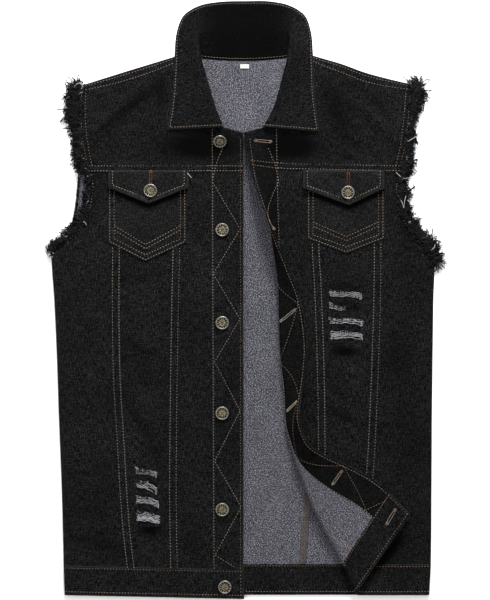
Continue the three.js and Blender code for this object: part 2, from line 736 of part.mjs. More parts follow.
// Body panels, placket, waistband and yoke of one front
function makeFront(side) {
  const isRight = side === "right";
  const rowCount = isRight ? RIGHT_BODY_ROWS : BODY_ROWS;
  const outline = isRight ? RIGHT_OUTLINE : LEFT_OUTLINE;
  const innerSeam = isRight ? RIGHT_INNER_SEAM : LEFT_INNER_SEAM;
  const outerSeam = isRight ? RIGHT_OUTER_SEAM : LEFT_OUTER_SEAM;
  const inward = isRight ? -HALF_GAP : HALF_GAP;
  const cloth = (rows) => wall(rows, -CLOTH / 2, CLOTH / 2, place[side]);
  const doubled = (rows) => wall(rows, -DOUBLE / 2, DOUBLE / 2, place[side]);
  const order = (a, b) => (isRight ? [b, a] : [a, b]);
  const panel = (from, to, count) => cloth(bodyRows(side, ...order(from, to), rowCount, count));

  const placketSeam = (shift) => (y) => placketLine[side](y) + shift;
  add(
    `inner_panel_${side}`,
    panel(placketSeam(inward), seamLine(innerSeam, -inward), isRight ? 3 : 10),
    denim(),
  );
  add(
    `mid_panel_${side}`,
    cutRips(
      panel(seamLine(innerSeam, inward), seamLine(outerSeam, -inward), isRight ? 4 : 7),
      isRight ? RIGHT_RIPS : LEFT_RIPS,
    ),
    denim(),
  );
  const sidePanel = sideRows(side, seamLine(outerSeam, inward), seamLine(outline, 0), rowCount);
  add(`side_panel_${side}`, cloth(sidePanel), denim());

  add(`placket_${side}`, doubled(placketRows(side, rowCount, isRight ? 2 : 8)), denim());
  add(`front_waistband_${side}`, doubled(waistbandRows(side, outline)), denim());
  add(`front_yoke_${side}`, cloth(yokeRows(side, outline)), denim());
}

// The side panel's columns crowd towards the side, where it rounds down.
const SIDE_COLUMNS = [0, 0.3, 0.58, 0.8, 0.92, 0.975, 1];
function sideRows(side, seam, edge, rowCount) {
  const rows = bodyRows(side, seam, edge, rowCount, 1);
  return rows.map(([a, b]) => {
    const row = SIDE_COLUMNS.map((u) => [mix(a[0], b[0], u), mix(a[1], b[1], u)]);
    return side === "right" ? row.reverse() : row;
  });
}

function placketRows(side, rowCount, columnCount) {
  const isRight = side === "right";
  const free = isRight ? () => BUTTON_EDGE_X : leftCutEdge;
  const sewn = (y) => placketLine[side](y) + (isRight ? HALF_GAP : -HALF_GAP);
  const body = isRight
    ? bodyRows(side, sewn, free, rowCount, columnCount)
    : bodyRows(side, free, sewn, rowCount, columnCount);
  const neckRows = 4;
  const sewnTop = sewn(NECKLINE_AT_PLACKET_Y);
  for (let j = 1; j <= neckRows; j += 1) {
    const topOf = (x) => {
      const t = Math.abs(x - sewnTop) / PLACKET_WIDTH;
      return mix(NECKLINE_AT_PLACKET_Y, NECKLINE_AT_EDGE_Y, clamp01(t));
    };
    const level = (x) => mix(yokeSeam[side](x) - HALF_GAP, topOf(x), j / neckRows);
    const y = level(sewnTop);
    const xs = isRight
      ? columns(side, sewn(y), free(y), y, columnCount)
      : columns(side, free(y), sewn(y), y, columnCount);
    body.push(xs.map((x) => [x, level(x)]));
  }
  return body;
}

function waistbandRows(side, outline) {
  const isRight = side === "right";
  const rows = [];
  const count = isRight ? 10 : 26;
  for (let j = 0; j <= WAIST_ROWS; j += 1) {
    const level = (x) => mix(hem[side](x), waistSeam[side](x) - HALF_GAP, j / WAIST_ROWS);
    const y = mix(HEM_Y, WAIST_SEAM_Y, j / WAIST_ROWS);
    const from = isRight ? valueAt(outline, "x", y) : leftCutEdge(y);
    const to = isRight ? BUTTON_EDGE_X + 1 : valueAt(outline, "x", y);
    const roundAt = isRight ? from + SIDE_ROUND : to - SIDE_ROUND;
    const flat = isRight
      ? columns(side, roundAt, to, y, count - 3)
      : columns(side, from, roundAt, y, count - 3);
    const edge = [0.35, 0.7, 1].map((t) => (isRight ? mix(roundAt, from, t) : mix(roundAt, to, t)));
    const xs = isRight ? [...edge.reverse(), ...flat] : [...flat, ...edge];
    rows.push(xs.map((x) => [x, level(x)]));
  }
  return rows;
}

const YOKE_ROWS = 9;
const YOKE_COLUMNS = 10;
function yokeRows(side, outline) {
  const isRight = side === "right";
  const sewn = (y) => placketLine[side](y) + (isRight ? -HALF_GAP : HALF_GAP);
  const shoulder = isRight ? [...RIGHT_SHOULDER].reverse() : [...LEFT_SHOULDER].reverse();
  const neckline = smoothLine(isRight ? RIGHT_NECKLINE : LEFT_NECKLINE, 14).reverse();
  const seamY = (x) => yokeSeam[side](x) + HALF_GAP;
  const seamEndY = seamY(isRight ? RIGHT_ARMHOLE_X : LEFT_ARMHOLE_X);
  const foot = [sewn(YOKE_SEAM_Y), seamY(sewn(YOKE_SEAM_Y))];
  const top = [sewn(NECKLINE_AT_PLACKET_Y), NECKLINE_AT_PLACKET_Y - 1];
  const neck = neckline.filter(([x]) => Math.abs(x) > Math.abs(top[0]) + 0.5);
  const inner = [foot, top, ...neck];
  const armhole = outlinePart(outline, seamEndY, shoulder[shoulder.length - 1][1]);
  const bottom = [foot, armhole[0]];
  const line = (points) => (t) => alongPolyline(points, t);
  const crowd = (f) => (t) => f(1 - (1 - t) ** 1.5);
  const sides = [bottom, shoulder, inner, armhole].map((points) => crowd(line(points)));
  const patch = coonsRows(...sides, YOKE_ROWS, YOKE_COLUMNS);
  return isRight ? patch.map((row) => [...row].reverse()) : patch;
}

// Pocket bags' faces and flaps, laid on the panels
function pointedRows({ left, right, top, side, tipX, tipY }, rowCount, columnCount) {
  const rows = [];
  const half = Math.round(columnCount / 2);
  const xs = [
    ...Array.from({ length: half }, (_, i) => mix(left, tipX, i / half)),
    ...Array.from({ length: half + 1 }, (_, i) => mix(tipX, right, i / half)),
  ];
  for (let j = 0; j <= rowCount; j += 1) {
    rows.push(
      xs.map((x) => {
        const toTip = x < tipX ? (x - left) / (tipX - left) : (right - x) / (right - tipX);
        const foot = mix(side, tipY, toTip);
        return [x, mix(foot, top, j / rowCount)];
      }),
    );
  }
  return rows;
}

const POCKET_LOW = CLOTH / 2 + LAY_GAP;
const POCKET_HIGH = POCKET_LOW + CLOTH;
const FLAP_LOW = POCKET_HIGH + LAY_GAP;
const FLAP_HIGH = FLAP_LOW + DOUBLE * 0.9;
const POCKET_ROWS = 5;
const FLAP_ROWS = 4;
const POCKET_COLUMNS = 8;

function makePockets() {
  const pockets = { right: RIGHT_POCKET, left: LEFT_POCKET };
  const flaps = { right: RIGHT_FLAP, left: LEFT_FLAP };
  for (const side of ["right", "left"]) {
    const at = (x, y, out) => new THREE.Vector3(x, y, frontHeight(side, x, y) + out);
    const pocketRows = pointedRows(pockets[side], POCKET_ROWS, POCKET_COLUMNS);
    const flapRows = pointedRows(flaps[side], FLAP_ROWS, POCKET_COLUMNS);
    add(`pocket_${side}`, wall(pocketRows, POCKET_LOW, POCKET_HIGH, at), denim());
    add(`flap_${side}`, wall(flapRows, FLAP_LOW, FLAP_HIGH, at), denim());
  }
}

// Collar
function collarSection(row) {
  const neck = new THREE.Vector3(row.neckX, row.neckY, row.neckZ);
  const ridge = new THREE.Vector3(row.ridgeX, row.ridgeY, row.ridgeZ);
  const edge = new THREE.Vector3(row.edgeX, row.edgeY, row.edgeZ);
  const step = (to) => {
    const away = to.clone().sub(ridge).setZ(0);
    return ridge.clone().addScaledVector(away.normalize(), COLLAR_ROLL);
  };
  neck.addScaledVector(ridge.clone().sub(neck).setZ(0).normalize(), COLLAR_GAP);
  const before = step(neck);
  before.z -= COLLAR_ROLL * row.fold;
  const after = step(edge);
  after.z += COLLAR_ROLL * row.fold;
  const stand = neck.clone().lerp(before, 0.5);
  const leaf = after.clone().lerp(edge, 0.5);
  leaf.z += 0.6 * row.fold;
  return new THREE.CatmullRomCurve3([neck, stand, before, ridge, after, leaf, edge], false, "centripetal");
}

const COLLAR_ACROSS = [0, 0.16, 0.28, 0.36, 0.43, 0.5, 0.57, 0.64, 0.75, 0.87, 1];
const COLLAR_ROWS = 30;
function makeCollar() {
  const sections = COLLAR.map((row) => {
    const curve = collarSection(row);
    return COLLAR_ACROSS.map((t) => curve.getPoint(t));
  });
  const through = (points) => new THREE.CatmullRomCurve3(points, false, "centripetal");
  const lines = COLLAR_ACROSS.map((_, k) => through(sections.map((section) => section[k])));
  const count = COLLAR_ROWS;
  const middle = [];
  for (let j = 0; j <= count; j += 1) middle.push(lines.map((line) => line.getPoint(j / count)));
  const within = (k, last) => Math.min(last, Math.max(0, k));
  const at = (j, i) => middle[within(j, count)][within(i, COLLAR_ACROSS.length - 1)];
  const face = (out) =>
    middle.flatMap((row, j) =>
      row.map((p, i) => {
        const along = at(j + 1, i).clone().sub(at(j - 1, i));
        const across = at(j, i + 1).clone().sub(at(j, i - 1));
        return p.clone().addScaledVector(along.cross(across).normalize(), out);
      }),
    );
  const points = [...face(DOUBLE / 2), ...face(-DOUBLE / 2)];
  add("collar", closedGrid(points, count + 1, COLLAR_ACROSS.length), denim());
}

// Buttons, turned to one profile: foot, rim, sunk face and boss
function buttonGeometry() {
  const rim = BUTTON_DIAMETER / 2;
  const profile = [
    [0, 0],
    [rim * 0.6, 0],
    [rim, 1.7],
    [rim * 0.96, 3.0],
    [rim * 0.84, 3.3],
    [rim * 0.76, 2.6],
    [rim * 0.3, 2.5],
    [0, 3.2],
  ].map(([r, z]) => new THREE.Vector2(r, z));
  return new THREE.LatheGeometry(profile, BUTTON_SIDES).rotateX(Math.PI / 2);
}

function makeButtons() {
  PLACKET_BUTTONS.forEach(({ x, y, lean }, i) => {
    const rise = (BUTTON_DIAMETER / 2) * 0.6 * Math.sin(radians(lean));
    const mesh = add(`placket_button_${i + 1}`, buttonGeometry(), metal());
    mesh.position.set(x, y, frontHeight("right", x, y) + DOUBLE / 2 + SEAM_GAP + rise);
    mesh.rotation.x = radians(lean);
  });
  for (const side of ["right", "left"]) {
    const { x, y } = FLAP_BUTTONS[side];
    const mesh = add(`flap_button_${side}`, buttonGeometry(), metal());
    mesh.position.set(x, y, frontHeight(side, x, y) + FLAP_HIGH + SEAM_GAP);
  }
}

// Repeatable scatter from 0 to 1
const scatter = (n) => {
  const s = Math.sin(n * 127.1 + 11.7) * 43758.5453;
  return s - Math.floor(s);
};

// One strand: three sides, bent once, ending in a point-like tip
function strand(root, heading, length, lift, thickness, seed) {
  const rings = [];
  const side = new THREE.Vector3(-heading.y, heading.x, 0);
  const bend = (scatter(seed + 0.7) - 0.5) * 0.5 * length;
  const stations = [
    { t: 0, r: thickness * 0.55 },
    { t: 0.5, r: thickness * 0.5 },
    { t: 1, r: thickness * 0.5 * STRAND_TIP },
  ];
  for (const { t, r } of stations) {
    const p = root
      .clone()
      .addScaledVector(heading, length * t)
      .addScaledVector(side, bend * t * t);
    p.z += lift * Math.sin(t * Math.PI * 0.5);
    for (let k = 0; k < 3; k += 1) {
      const a = (k * 2 * Math.PI) / 3 + Math.PI / 2;
      rings.push(p.clone().addScaledVector(side, r * Math.cos(a)).setZ(p.z + r * Math.sin(a)));
    }
  }
  const faces = [0, 2, 1, 6, 7, 8];
  for (let s = 0; s < 2; s += 1) {
    for (let k = 0; k < 3; k += 1) {
      const a = s * 3 + k;
      const b = s * 3 + ((k + 1) % 3);
      faces.push(a, b, b + 3, a, b + 3, a + 3);
    }
  }
  const geometry = new THREE.BufferGeometry().setFromPoints(rings);
  geometry.setIndex(faces);
  return geometry;
}

function makeFringe(name, line, outward, z, thickness, lift, reach, seed) {
  const count = 20;
  const center = smoothLine(line, count);
  const normalAt = (i) => {
    const a = center[Math.max(0, i - 1)];
    const b = center[Math.min(count, i + 1)];
    const length = Math.hypot(b[0] - a[0], b[1] - a[1]);
    return [(outward * (b[1] - a[1])) / length, (-outward * (b[0] - a[0])) / length];
  };
  const offset = (distance) =>
    center.map(([x, y], i) => {
      const [nx, ny] = normalAt(i);
      return [x + nx * distance, y + ny * distance];
    });
  const strip = [...offset(FRINGE_INNER), ...offset(FRINGE_OUTER).reverse()];
  let body = solid(flatPiece(outward > 0 ? strip : strip.reverse(), thickness, z));
  if (body.volume() < 0) throw new Error(`${name} is inside out`);
  for (let k = 0; k < FRINGE_STRANDS; k += 1) {
    const t = (k + 0.5 + 0.6 * (scatter(seed + k) - 0.5)) / FRINGE_STRANDS;
    const i = Math.min(count - 1, Math.floor(t * count));
    const share = t * count - i;
    const [nx, ny] = normalAt(i);
    const x = mix(center[i][0], center[i + 1][0], share);
    const y = mix(center[i][1], center[i + 1][1], share);
    const fan = FRINGE_FAN * (clamp01((t - 0.93) / 0.07) - clamp01((0.08 - t) / 0.08));
    const turn = (scatter(seed + 3.1 * k) - 0.5) * FRINGE_TURN + outward * fan;
    const heading = new THREE.Vector3(nx, ny, 0).applyAxisAngle(new THREE.Vector3(0, 0, 1), turn);
    const tuft = 0.72 + 0.28 * Math.sin(k * 0.95 + seed);
    const length = reach * tuft * (0.75 + 0.35 * scatter(seed + 7.7 * k));
    const root = new THREE.Vector3(x + nx * FRINGE_ROOT, y + ny * FRINGE_ROOT, z + thickness * 0.42);
    const rise = lift * scatter(seed + 5.3 * k);
    body = body.add(solid(strand(root, heading, length, rise, thickness, seed + k)));
  }
  add(name, geometryOf(body), frayed());
}

function makeFringes() {
  const from = (table, low, high) => outlinePart(table, low, high);
  makeFringe("fringe_back_right", from(RIGHT_BACK_ARMHOLE, 72, 280), -1, 0.3, 1.1, 0, 24, 1);
  makeFringe("fringe_back_left", from(LEFT_BACK_ARMHOLE, 60, 282), 1, 0.3, 1.1, 0, 24, 2);
  makeFringe("fringe_front_right", from(RIGHT_OUTLINE, 68, 281), -1, 1.8, 1.4, 5, 30, 3);
  makeFringe("fringe_front_left", from(LEFT_OUTLINE, 55, 283), 1, 1.8, 1.4, 5, 30, 4);
}

makeBack();
makeFront("right");
makeFront("left");
makePockets();
makeCollar();
makeButtons();
makeFringes();

const vest = new THREE.Group();
vest.add(...meshes);
export default vest;
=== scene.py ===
"""Black denim vest with fringed armholes, laid flat: cloth, sewing, fraying, rips and buttons on its frame.

Sizes in the tables are millimetres in the frame's axes: +Z up, +Y towards the collar and +X to the
wearer's left.
"""
import math

import bpy
import numpy as np
from bpy.props import FloatProperty, FloatVectorProperty, IntProperty, PointerProperty
from bpy.types import Operator, Panel, PropertyGroup
from mathutils import Matrix, Vector


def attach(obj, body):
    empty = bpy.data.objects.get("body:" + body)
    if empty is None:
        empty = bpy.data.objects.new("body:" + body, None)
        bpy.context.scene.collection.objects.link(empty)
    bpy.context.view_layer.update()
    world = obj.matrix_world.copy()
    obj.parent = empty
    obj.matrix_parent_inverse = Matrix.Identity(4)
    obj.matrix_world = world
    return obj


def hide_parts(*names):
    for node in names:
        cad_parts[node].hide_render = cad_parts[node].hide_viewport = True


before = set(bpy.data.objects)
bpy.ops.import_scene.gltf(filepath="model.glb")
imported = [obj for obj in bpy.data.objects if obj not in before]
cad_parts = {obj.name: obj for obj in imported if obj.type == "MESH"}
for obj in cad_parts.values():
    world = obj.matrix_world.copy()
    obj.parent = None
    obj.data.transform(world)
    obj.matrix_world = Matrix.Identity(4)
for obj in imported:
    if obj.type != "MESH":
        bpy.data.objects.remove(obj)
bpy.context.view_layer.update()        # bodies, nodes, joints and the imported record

bl_info = {
    "name": "Denim vest",
    "version": (1, 0, 0),
    "blender": (4, 5, 0),
    "location": "3D View > Sidebar > Vest",
    "description": "Dresses the packed frame of a fringed black denim vest, laid flat",
    "category": "Object",
}

MM = 0.001
BODY = "root"


def linear(hex_colour):
    """Linear RGBA of an sRGB hex colour."""
    srgb = [int(hex_colour[i:i + 2], 16) / 255 for i in (1, 3, 5)]
    return tuple(c / 12.92 if c <= 0.04045 else ((c + 0.055) / 1.055) ** 2.4 for c in srgb) + (1.0,)


def colour(name, description, hex_colour):
    return FloatVectorProperty(
        name=name, description=description, subtype="COLOR", size=4, min=0, max=1, default=linear(hex_colour))


def length(name, description, millimetres):
    return FloatProperty(name=name, description=description, unit="LENGTH", default=millimetres * MM, min=0)


class VestClothSettings(PropertyGroup):
    """Denim thicknesses, grid steps and colours"""
    single: length("Single cloth", "Thickness of one ply of denim", 1.2)
    doubled: length("Doubled cloth", "Thickness of plackets, bands, flaps and collar", 2.0)
    step: length("Grid step", "Spacing of the cloth's grid", 2.9)
    fold_step: length("Fold step", "Spacing of the grid where the front is turned back", 1.9)
    face: colour("Denim face", "Warp colour of the outside", "#040404")
    fleck: colour("Denim fleck", "Weft colour that shows between the warp threads", "#58585b")
    reverse: colour("Denim reverse", "Mean colour of the inside", "#46454c")
    reverse_dark: colour("Reverse dark", "Dark warp flecks on the inside", "#050507")
    reverse_light: colour("Reverse light", "Undyed weft flecks on the inside", "#a4a4b0")
    # Colour of the attribute's worn side only; its painted shade dims the flecks instead
    wear_and_painted_shade: colour("Worn edge", "Faded colour along folded edges and seams", "#2d2b29")


class VestSewingSettings(PropertyGroup):
    """Topstitching, buttonholes and overlocking"""
    pitch: length("Stitch pitch", "Spacing of the topstitches", 3.9)
    stitch: length("Stitch length", "Visible length of one topstitch", 1.9)
    thread: length("Thread width", "Width of the topstitching thread", 0.56)
    tan: colour("Tan thread", "Pale end of the topstitching's colour", "#b3ab9e")
    rust: colour("Rust thread", "Deep end of the topstitching's colour", "#835d42")
    rust_deep: colour("Buttonhole thread", "Colour of buttonholes and overlocking", "#7c4322")


class VestFraySettings(PropertyGroup):
    """Raw armholes and rips"""
    strands: IntProperty(name="Strands", description="Threads of each armhole's fringe", default=2300, min=50)
    strand: length("Strand radius", "Radius of a frayed thread", 0.8)
    black: colour("Black fray", "Dyed warp threads", "#040404")
    pale: colour("Pale fray", "Undyed weft threads", "#a4a4a8")


class VestButtonSettings(PropertyGroup):
    """Metal shank buttons"""
    diameter: length("Button diameter", "Across the rim", 17.5)
    spokes: IntProperty(name="Spokes", description="Raised spokes of a button's face", default=12, min=3)
    bright: colour("Worn metal", "Rubbed, bright metal of rims and spokes", "#918b80")
    dark: colour("Antiqued metal", "Blackened metal of the recess", "#1b1913")
    brass: colour("Brass", "Yellow metal of the centre", "#706746")


class VestStageSettings(PropertyGroup):
    """Floor, light and camera"""
    camera_height: FloatProperty(
        name="Camera height", description="Above the floor", unit="LENGTH", default=3.2, min=1)
    frame_height: length("Frame height", "Real height that the picture shows", 792)
    floor: colour("Floor", "Pale plain floor", "#f7f7f7")


# Tables of the cut, as in the frame's own solids
def table(columns, *rows):
    """Rows of numbers under named columns, put in rising order of the first."""
    values = np.array(rows, float)
    return dict(zip(columns.split(), values[np.argsort(values[:, 0])].T))


OUTLINE = {
    "right": table(
        "y x", (-394, -237.5), (-354, -239), (-252, -241.5), (-152, -245.5), (-75, -248), (0, -251.5),
        (50, -255), (67, -254), (79, -237.5), (94, -220.5), (113, -211), (135, -206), (158, -205),
        (178, -212), (218, -219), (257, -221), (282, -219)),
    "left": table(
        "y x", (-394, 242.5), (-348, 245), (-252, 246), (-162, 246.5), (-75, 247.5), (0, 248.5), (42, 250),
        (54, 249), (74, 235), (95, 219), (116, 207.5), (139, 203), (165, 206.5), (198, 214), (243, 220),
        (284, 223)),
}
BACK_ARMHOLE = {
    "right": table(
        "y x", (67, -254), (80, -241.5), (96, -231), (119, -225), (144, -222), (170, -220.5), (211, -222),
        (251, -222.5), (282, -219)),
    "left": table(
        "y x", (54, 249), (74, 239.5), (95, 226), (116, 216), (139, 211.5), (165, 212.5), (198, 218),
        (243, 222), (284, 223)),
}
SHOULDER = {
    "right": table("x y", (-219, 282), (-160, 300.5), (-101, 318.5), (-79, 325)),
    "left": table("x y", (77, 326), (96, 320.5), (127, 311.5), (160, 299.5), (210, 286.5), (223, 284)),
}
OUTER_SEAM = {
    "right": table(
        "y x", (-360, -150), (-290, -157.5), (-177, -164.5), (-100, -169), (0, -170.5), (63, -170),
        (180, -169.5)),
    "left": table("y x", (-360, 153), (-222, 165), (-135, 169.5), (-54, 172.5), (26, 174.5), (180, 174.5)),
}
INNER_SEAM = {
    "right": table("y x", (-360, -93.5), (-252, -95), (-127, -94), (0, -92), (63, -90.5), (180, -88)),
    "left": table("y x", (-360, 100), (-191, 101), (-82, 99.5), (26, 95.5), (55, 93.5), (180, 90)),
}
NECKLINE = {
    "right": table(
        "y x", (325, -79), (313, -82), (290, -80), (267, -73), (247, -58), (235, -43.5)),
    "left": table("y x", (326, 77), (313, 80), (290, 78), (267, 71), (248, 57), (237, 43.5)),
}
BACK_NECKLINE = table(
    "x y", (-79, 325), (-69, 320), (-58, 317), (-28, 314), (0, 313.5), (31, 315), (54, 317.5), (66, 320.5),
    (77, 326))

# How the left front's edge is turned back, a row for each cut level: holdX is where the cloth leaves the
# flat, the edge columns are where its edge lies, axis is the roll's lean in degrees.
TURNED_EDGE = table(
    "y holdX edgeX edgeY edgeZ radius axis",
    (240, 30, 2, 240, 0, 12, 8), (212, 31, 2.5, 212.5, 0.5, 12, 8), (180, 37, 6, 182.5, 8, 12, 12),
    (150, 41, 11, 155, 16, 11, 15), (88, 46, 30, 104, 28, 10, 20), (22, 52, 57.5, 39.5, 23, 7, 19),
    (-21, 51.5, 72.5, 2.5, 15, 5.5, 18), (-77, 52.5, 81.5, -53.5, 10, 4.5, 17.5),
    (-115, 57, 79, -92.5, 13, 4.5, 17.5), (-161, 60.5, 71.5, -141, 23, 5, 18),
    (-185, 65, 71.5, -160, 27, 5, 18), (-210, 71.5, 82, -187, 25, 5, 19),
    (-240, 82, 103.5, -202.5, 17, 5, 22), (-278, 97, 135, -217, 11, 4.5, 26),
    (-317, 118, 167, -234, 9, 4.5, 27), (-346, 133.5, 187, -250, 8, 4.5, 27),
    (-388, 152, 217.5, -282, 7.5, 4.5, 27))

# Soft swells and finer creases of the fronts: centre, half-length along angle, half-width across it, height
SWELLS = [
    (-165, 250, 60, 16, 38, 1.8), (-120, 225, 45, 14, 30, 1.2), (150, 255, 60, 16, -36, 1.8),
    (115, 225, 40, 14, -28, 1.2), (-215, -40, 90, 18, 80, 1.4), (-130, -60, 50, 16, 25, 1.2),
    (-120, -150, 55, 16, 155, 1.1), (-200, -250, 70, 20, 20, 1.3), (210, -60, 80, 18, 100, 1.4),
    (205, -220, 70, 18, 95, 1.3), (125, -100, 45, 15, 150, 1.1),
]
CREASES = [
    (-188, 232, 46, 7, 42, 0.9), (-150, 205, 38, 6, 33, -0.8), (-112, 262, 30, 6, 55, 0.7),
    (178, 232, 48, 7, -44, 0.9), (140, 205, 36, 6, -30, -0.8), (108, 262, 28, 6, -52, 0.7),
    (-226, 20, 60, 7, 84, 0.8), (-205, -95, 55, 8, 74, -0.7), (-222, -180, 50, 7, 98, 0.7),
    (-190, -300, 40, 7, 12, 0.8), (-132, -95, 34, 6, 28, 0.7), (-118, -118, 30, 5, 24, -0.6),
    (-126, -190, 36, 6, 160, 0.7), (-66, -40, 60, 6, 92, 0.5), (-70, -200, 70, 6, 88, -0.5),
    (224, 0, 60, 7, 95, 0.8), (200, -110, 50, 8, 104, -0.7), (226, -190, 55, 7, 86, 0.7),
    (205, -305, 40, 7, -14, 0.8), (134, -92, 30, 5, 152, 0.8), (122, -128, 34, 6, 146, -0.6),
    (140, -170, 40, 6, 100, 0.6), (78, 60, 40, 6, 100, 0.6),
]
# Painted shade under the collar leaves, below the rips, in folds and in the waistband's cast shadow:
# centre, half-length along angle, half-width across it and depth
PAINTED_SHADE_FORMS = [
    (-56, 203, 50, 19, 0, 1.5), (60, 203, 38, 19, 0, 1.5), (-145, 260, 50, 8, 39, 0.7),
    (-110, 268, 26, 9, 88, 0.6), (119, 250, 46, 12, -70, 0.6), (176, 258, 26, 6, -50, 0.5),
    (207, -132, 210, 24, 91, 0.3), (132, -68, 19, 7, 0, 1.2), (132, -9, 17, 5, 0, 1.2),
    (-125, -303, 15, 8, 0, 1.2), (-191, -321, 40, 7, -20, 0.5), (-132, -172, 46, 8, -60, 0.45),
    (-145, -60, 25, 7, -30, 0.5), (-135, 30, 34, 9, 10, 0.4), (130, 15, 30, 9, 0, 0.5),
    (128, -150, 34, 8, -25, 0.5), (-140, 150, 60, 9, 0, 0.4), (216, 100, 60, 14, 100, 0.4),
    (188, -336, 38, 7, 50, 1.2),
]
BACK_FORMS = [
    (20, 60, 80, 18, 100, 1.5), (25, -120, 90, 16, 86, 1.5), (60, -240, 60, 14, 110, 1.5),
    (10, 240, 50, 14, 20, 1.5),
]

# Collar, a row for each section from the right tip round the back to the left tip: seam to the neck, ridge
# that it rolls over (fold 1) or lies along (fold 0), and free edge
COLLAR = np.array([
    (-31, 229, 5.2, -29, 227.5, 8.2, 1, -102, 224, 8.3), (-45, 238, 5.2, -34, 240, 8.6, 1, -100.5, 236, 8.3),
    (-61, 253, 5.2, -39, 252, 9, 1, -98, 251, 8.3), (-73.5, 272, 5, -45, 272, 9.8, 1, -95.5, 273, 8.3),
    (-79.5, 296, 4.8, -51.5, 294, 11.5, 1, -94, 297, 8.3),
    (-80, 314, 4.2, -57, 313, 13.5, 0.95, -92.5, 324, 6.5),
    (-75, 323, 2.6, -60.5, 333, 15, 0.7, -90, 353, 4.5), (-67, 321, 1.4, -61, 347, 13, 0.35, -81, 375, 3),
    (-54, 318, 1.3, -56, 356, 7, 0, -61, 388, 2), (-30, 315.5, 1.3, -31, 355, 3.6, 0, -33, 393.5, 1.4),
    (0, 314.7, 1.3, 0, 354, 3, 0, 0, 394.5, 1.4), (29, 316, 1.3, 32, 355, 3.6, 0, 34, 394, 1.4),
    (52, 318.5, 1.3, 55, 356, 7, 0, 60, 388, 2), (64.5, 321.5, 1.4, 59, 347, 13, 0.35, 79, 375, 3),
    (73, 324, 2.6, 58.5, 333, 15, 0.7, 87, 353, 4.5), (78, 314, 4.2, 55, 313, 13.5, 0.95, 89.5, 324, 6.5),
    (77.5, 296, 4.8, 50, 294, 11.5, 1, 90.5, 297, 8.3), (71.5, 272, 5, 44.5, 272, 9.8, 1, 91.5, 273, 8.3),
    (59, 253, 5.2, 38, 252, 9, 1, 94, 250, 8.3), (43, 240, 5.2, 32, 240, 8.6, 1, 96, 234, 8.3),
    (26, 229, 5.2, 24, 228, 8.2, 1, 98, 221.5, 8.3)], float)

# Pockets, flaps: left, right, top, side foot, tip x and y
POINTED = {
    "pocket_right": (-180, -77.5, 160, 76, -131, 51),
    "pocket_left": (82, 183.5, 160, 81, 133.5, 61.5),
    "flap_right": (-180, -74.5, 171, 148, -127, 126.5),
    "flap_left": (76.5, 183.5, 171, 147, 137, 124.5),
}

# Buttons: centre and lean in degrees about X
PLACKET_BUTTONS = [
    (-33, 209.5, 28), (-30, 92.5, 0), (-30, -30, 0), (-30, -149, 0), (-30, -276, 0), (-26.5, -378, 0)]
FLAP_BUTTONS = {"right": (-124.5, 144), "left": (135.5, 141.5)}
SEAT_ON_PLACKET = 1.9    # height of a button's foot over the middle of the front's wall
SEAT_ON_FLAP = 4.9
LATHE_SIDES = 40

# Rips: ends, level and height
RIPS = {
    "right": [(-143, -117.5, -228, 10), (-142.5, -116.5, -246, 16), (-142, -115.5, -266, 14),
              (-141.5, -114, -288.5, 17)],
    "left": [(113, 152, 7, 11), (112, 150.5, -11.5, 8), (113, 154.5, -28.5, 10), (114.5, 154, -47.5, 14)],
}

# Levels and widths
HEM_Y = -389
FRONT_HEM_DROP = 5
WAIST_SEAM_Y = -348.5
RIGHT_WAIST_SEAM_Y = -350.5
WAIST_SEAM_DROP = 5
YOKE_SEAM_Y = 173.5
YOKE_SEAM_RISE = 4
NECKLINE_AT_PLACKET_Y = 233
NECKLINE_AT_EDGE_Y = 221
RIGHT_SIDE_X = -239
LEFT_ARMHOLE_X = 207
BUTTON_EDGE_X = -2
PLACKET_WIDTH = 40.5
PLACKET_TAPER = 0.004
LEFT_EDGE_TOP = (2.6, 212.5)
LEFT_EDGE_HEM = (15.2, -385.5)
BAND_MIDDLE_Y = -370.0
FRONT_LIFT = 5.0
SIDE_HEIGHT = 2.1
HEM_HEIGHT = 3.4
SIDE_ROUND = 17
BACK_SEAM_TOP_X = 122
BACK_SEAM_WAIST_X = 81
COLLAR_GAP = 0.8
COLLAR_ROLL = 2.7
LAP = 5.6                # how far a felled seam's top ply reaches over the ply below
ROW_HALF = 4.3           # half the spacing of a felled seam's two rows of stitches
YOKE_ROW_HALF = 3.2
LAP_RISE = 1.1           # height of a second ply


def mix(a, b, t):
    return a + (b - a) * t


def ease(t):
    t = np.clip(t, 0, 1)
    return t * t * (3 - 2 * t)


def value_at(rows, column, at, key="y"):
    """Smooth value of one column of a table at places along its key column."""
    knots, values = rows[key], rows[column]
    slopes = np.empty_like(values)
    slopes[1:-1] = (values[2:] - values[:-2]) / (knots[2:] - knots[:-2])
    slopes[0] = (values[1] - values[0]) / (knots[1] - knots[0])
    slopes[-1] = (values[-1] - values[-2]) / (knots[-1] - knots[-2])
    at = np.clip(at, knots[0], knots[-1])
    i = np.clip(np.searchsorted(knots, at, side="right") - 1, 0, len(knots) - 2)
    span = knots[i + 1] - knots[i]
    t = (at - knots[i]) / span
    return (
        values[i] * (2 * t**3 - 3 * t**2 + 1) + values[i + 1] * (3 * t**2 - 2 * t**3)
        + slopes[i] * span * (t**3 - 2 * t**2 + t) + slopes[i + 1] * span * (t**3 - t**2))


def distance_to(line, x, y):
    """Distance of places to a polyline of corners."""
    a, span = line[:-1], line[1:] - line[:-1]
    px, py = np.asarray(x, float)[..., None], np.asarray(y, float)[..., None]
    t = np.clip(((px - a[:, 0]) * span[:, 0] + (py - a[:, 1]) * span[:, 1]) / (span**2).sum(1), 0, 1)
    return np.hypot(px - a[:, 0] - t * span[:, 0], py - a[:, 1] - t * span[:, 1]).min(-1)


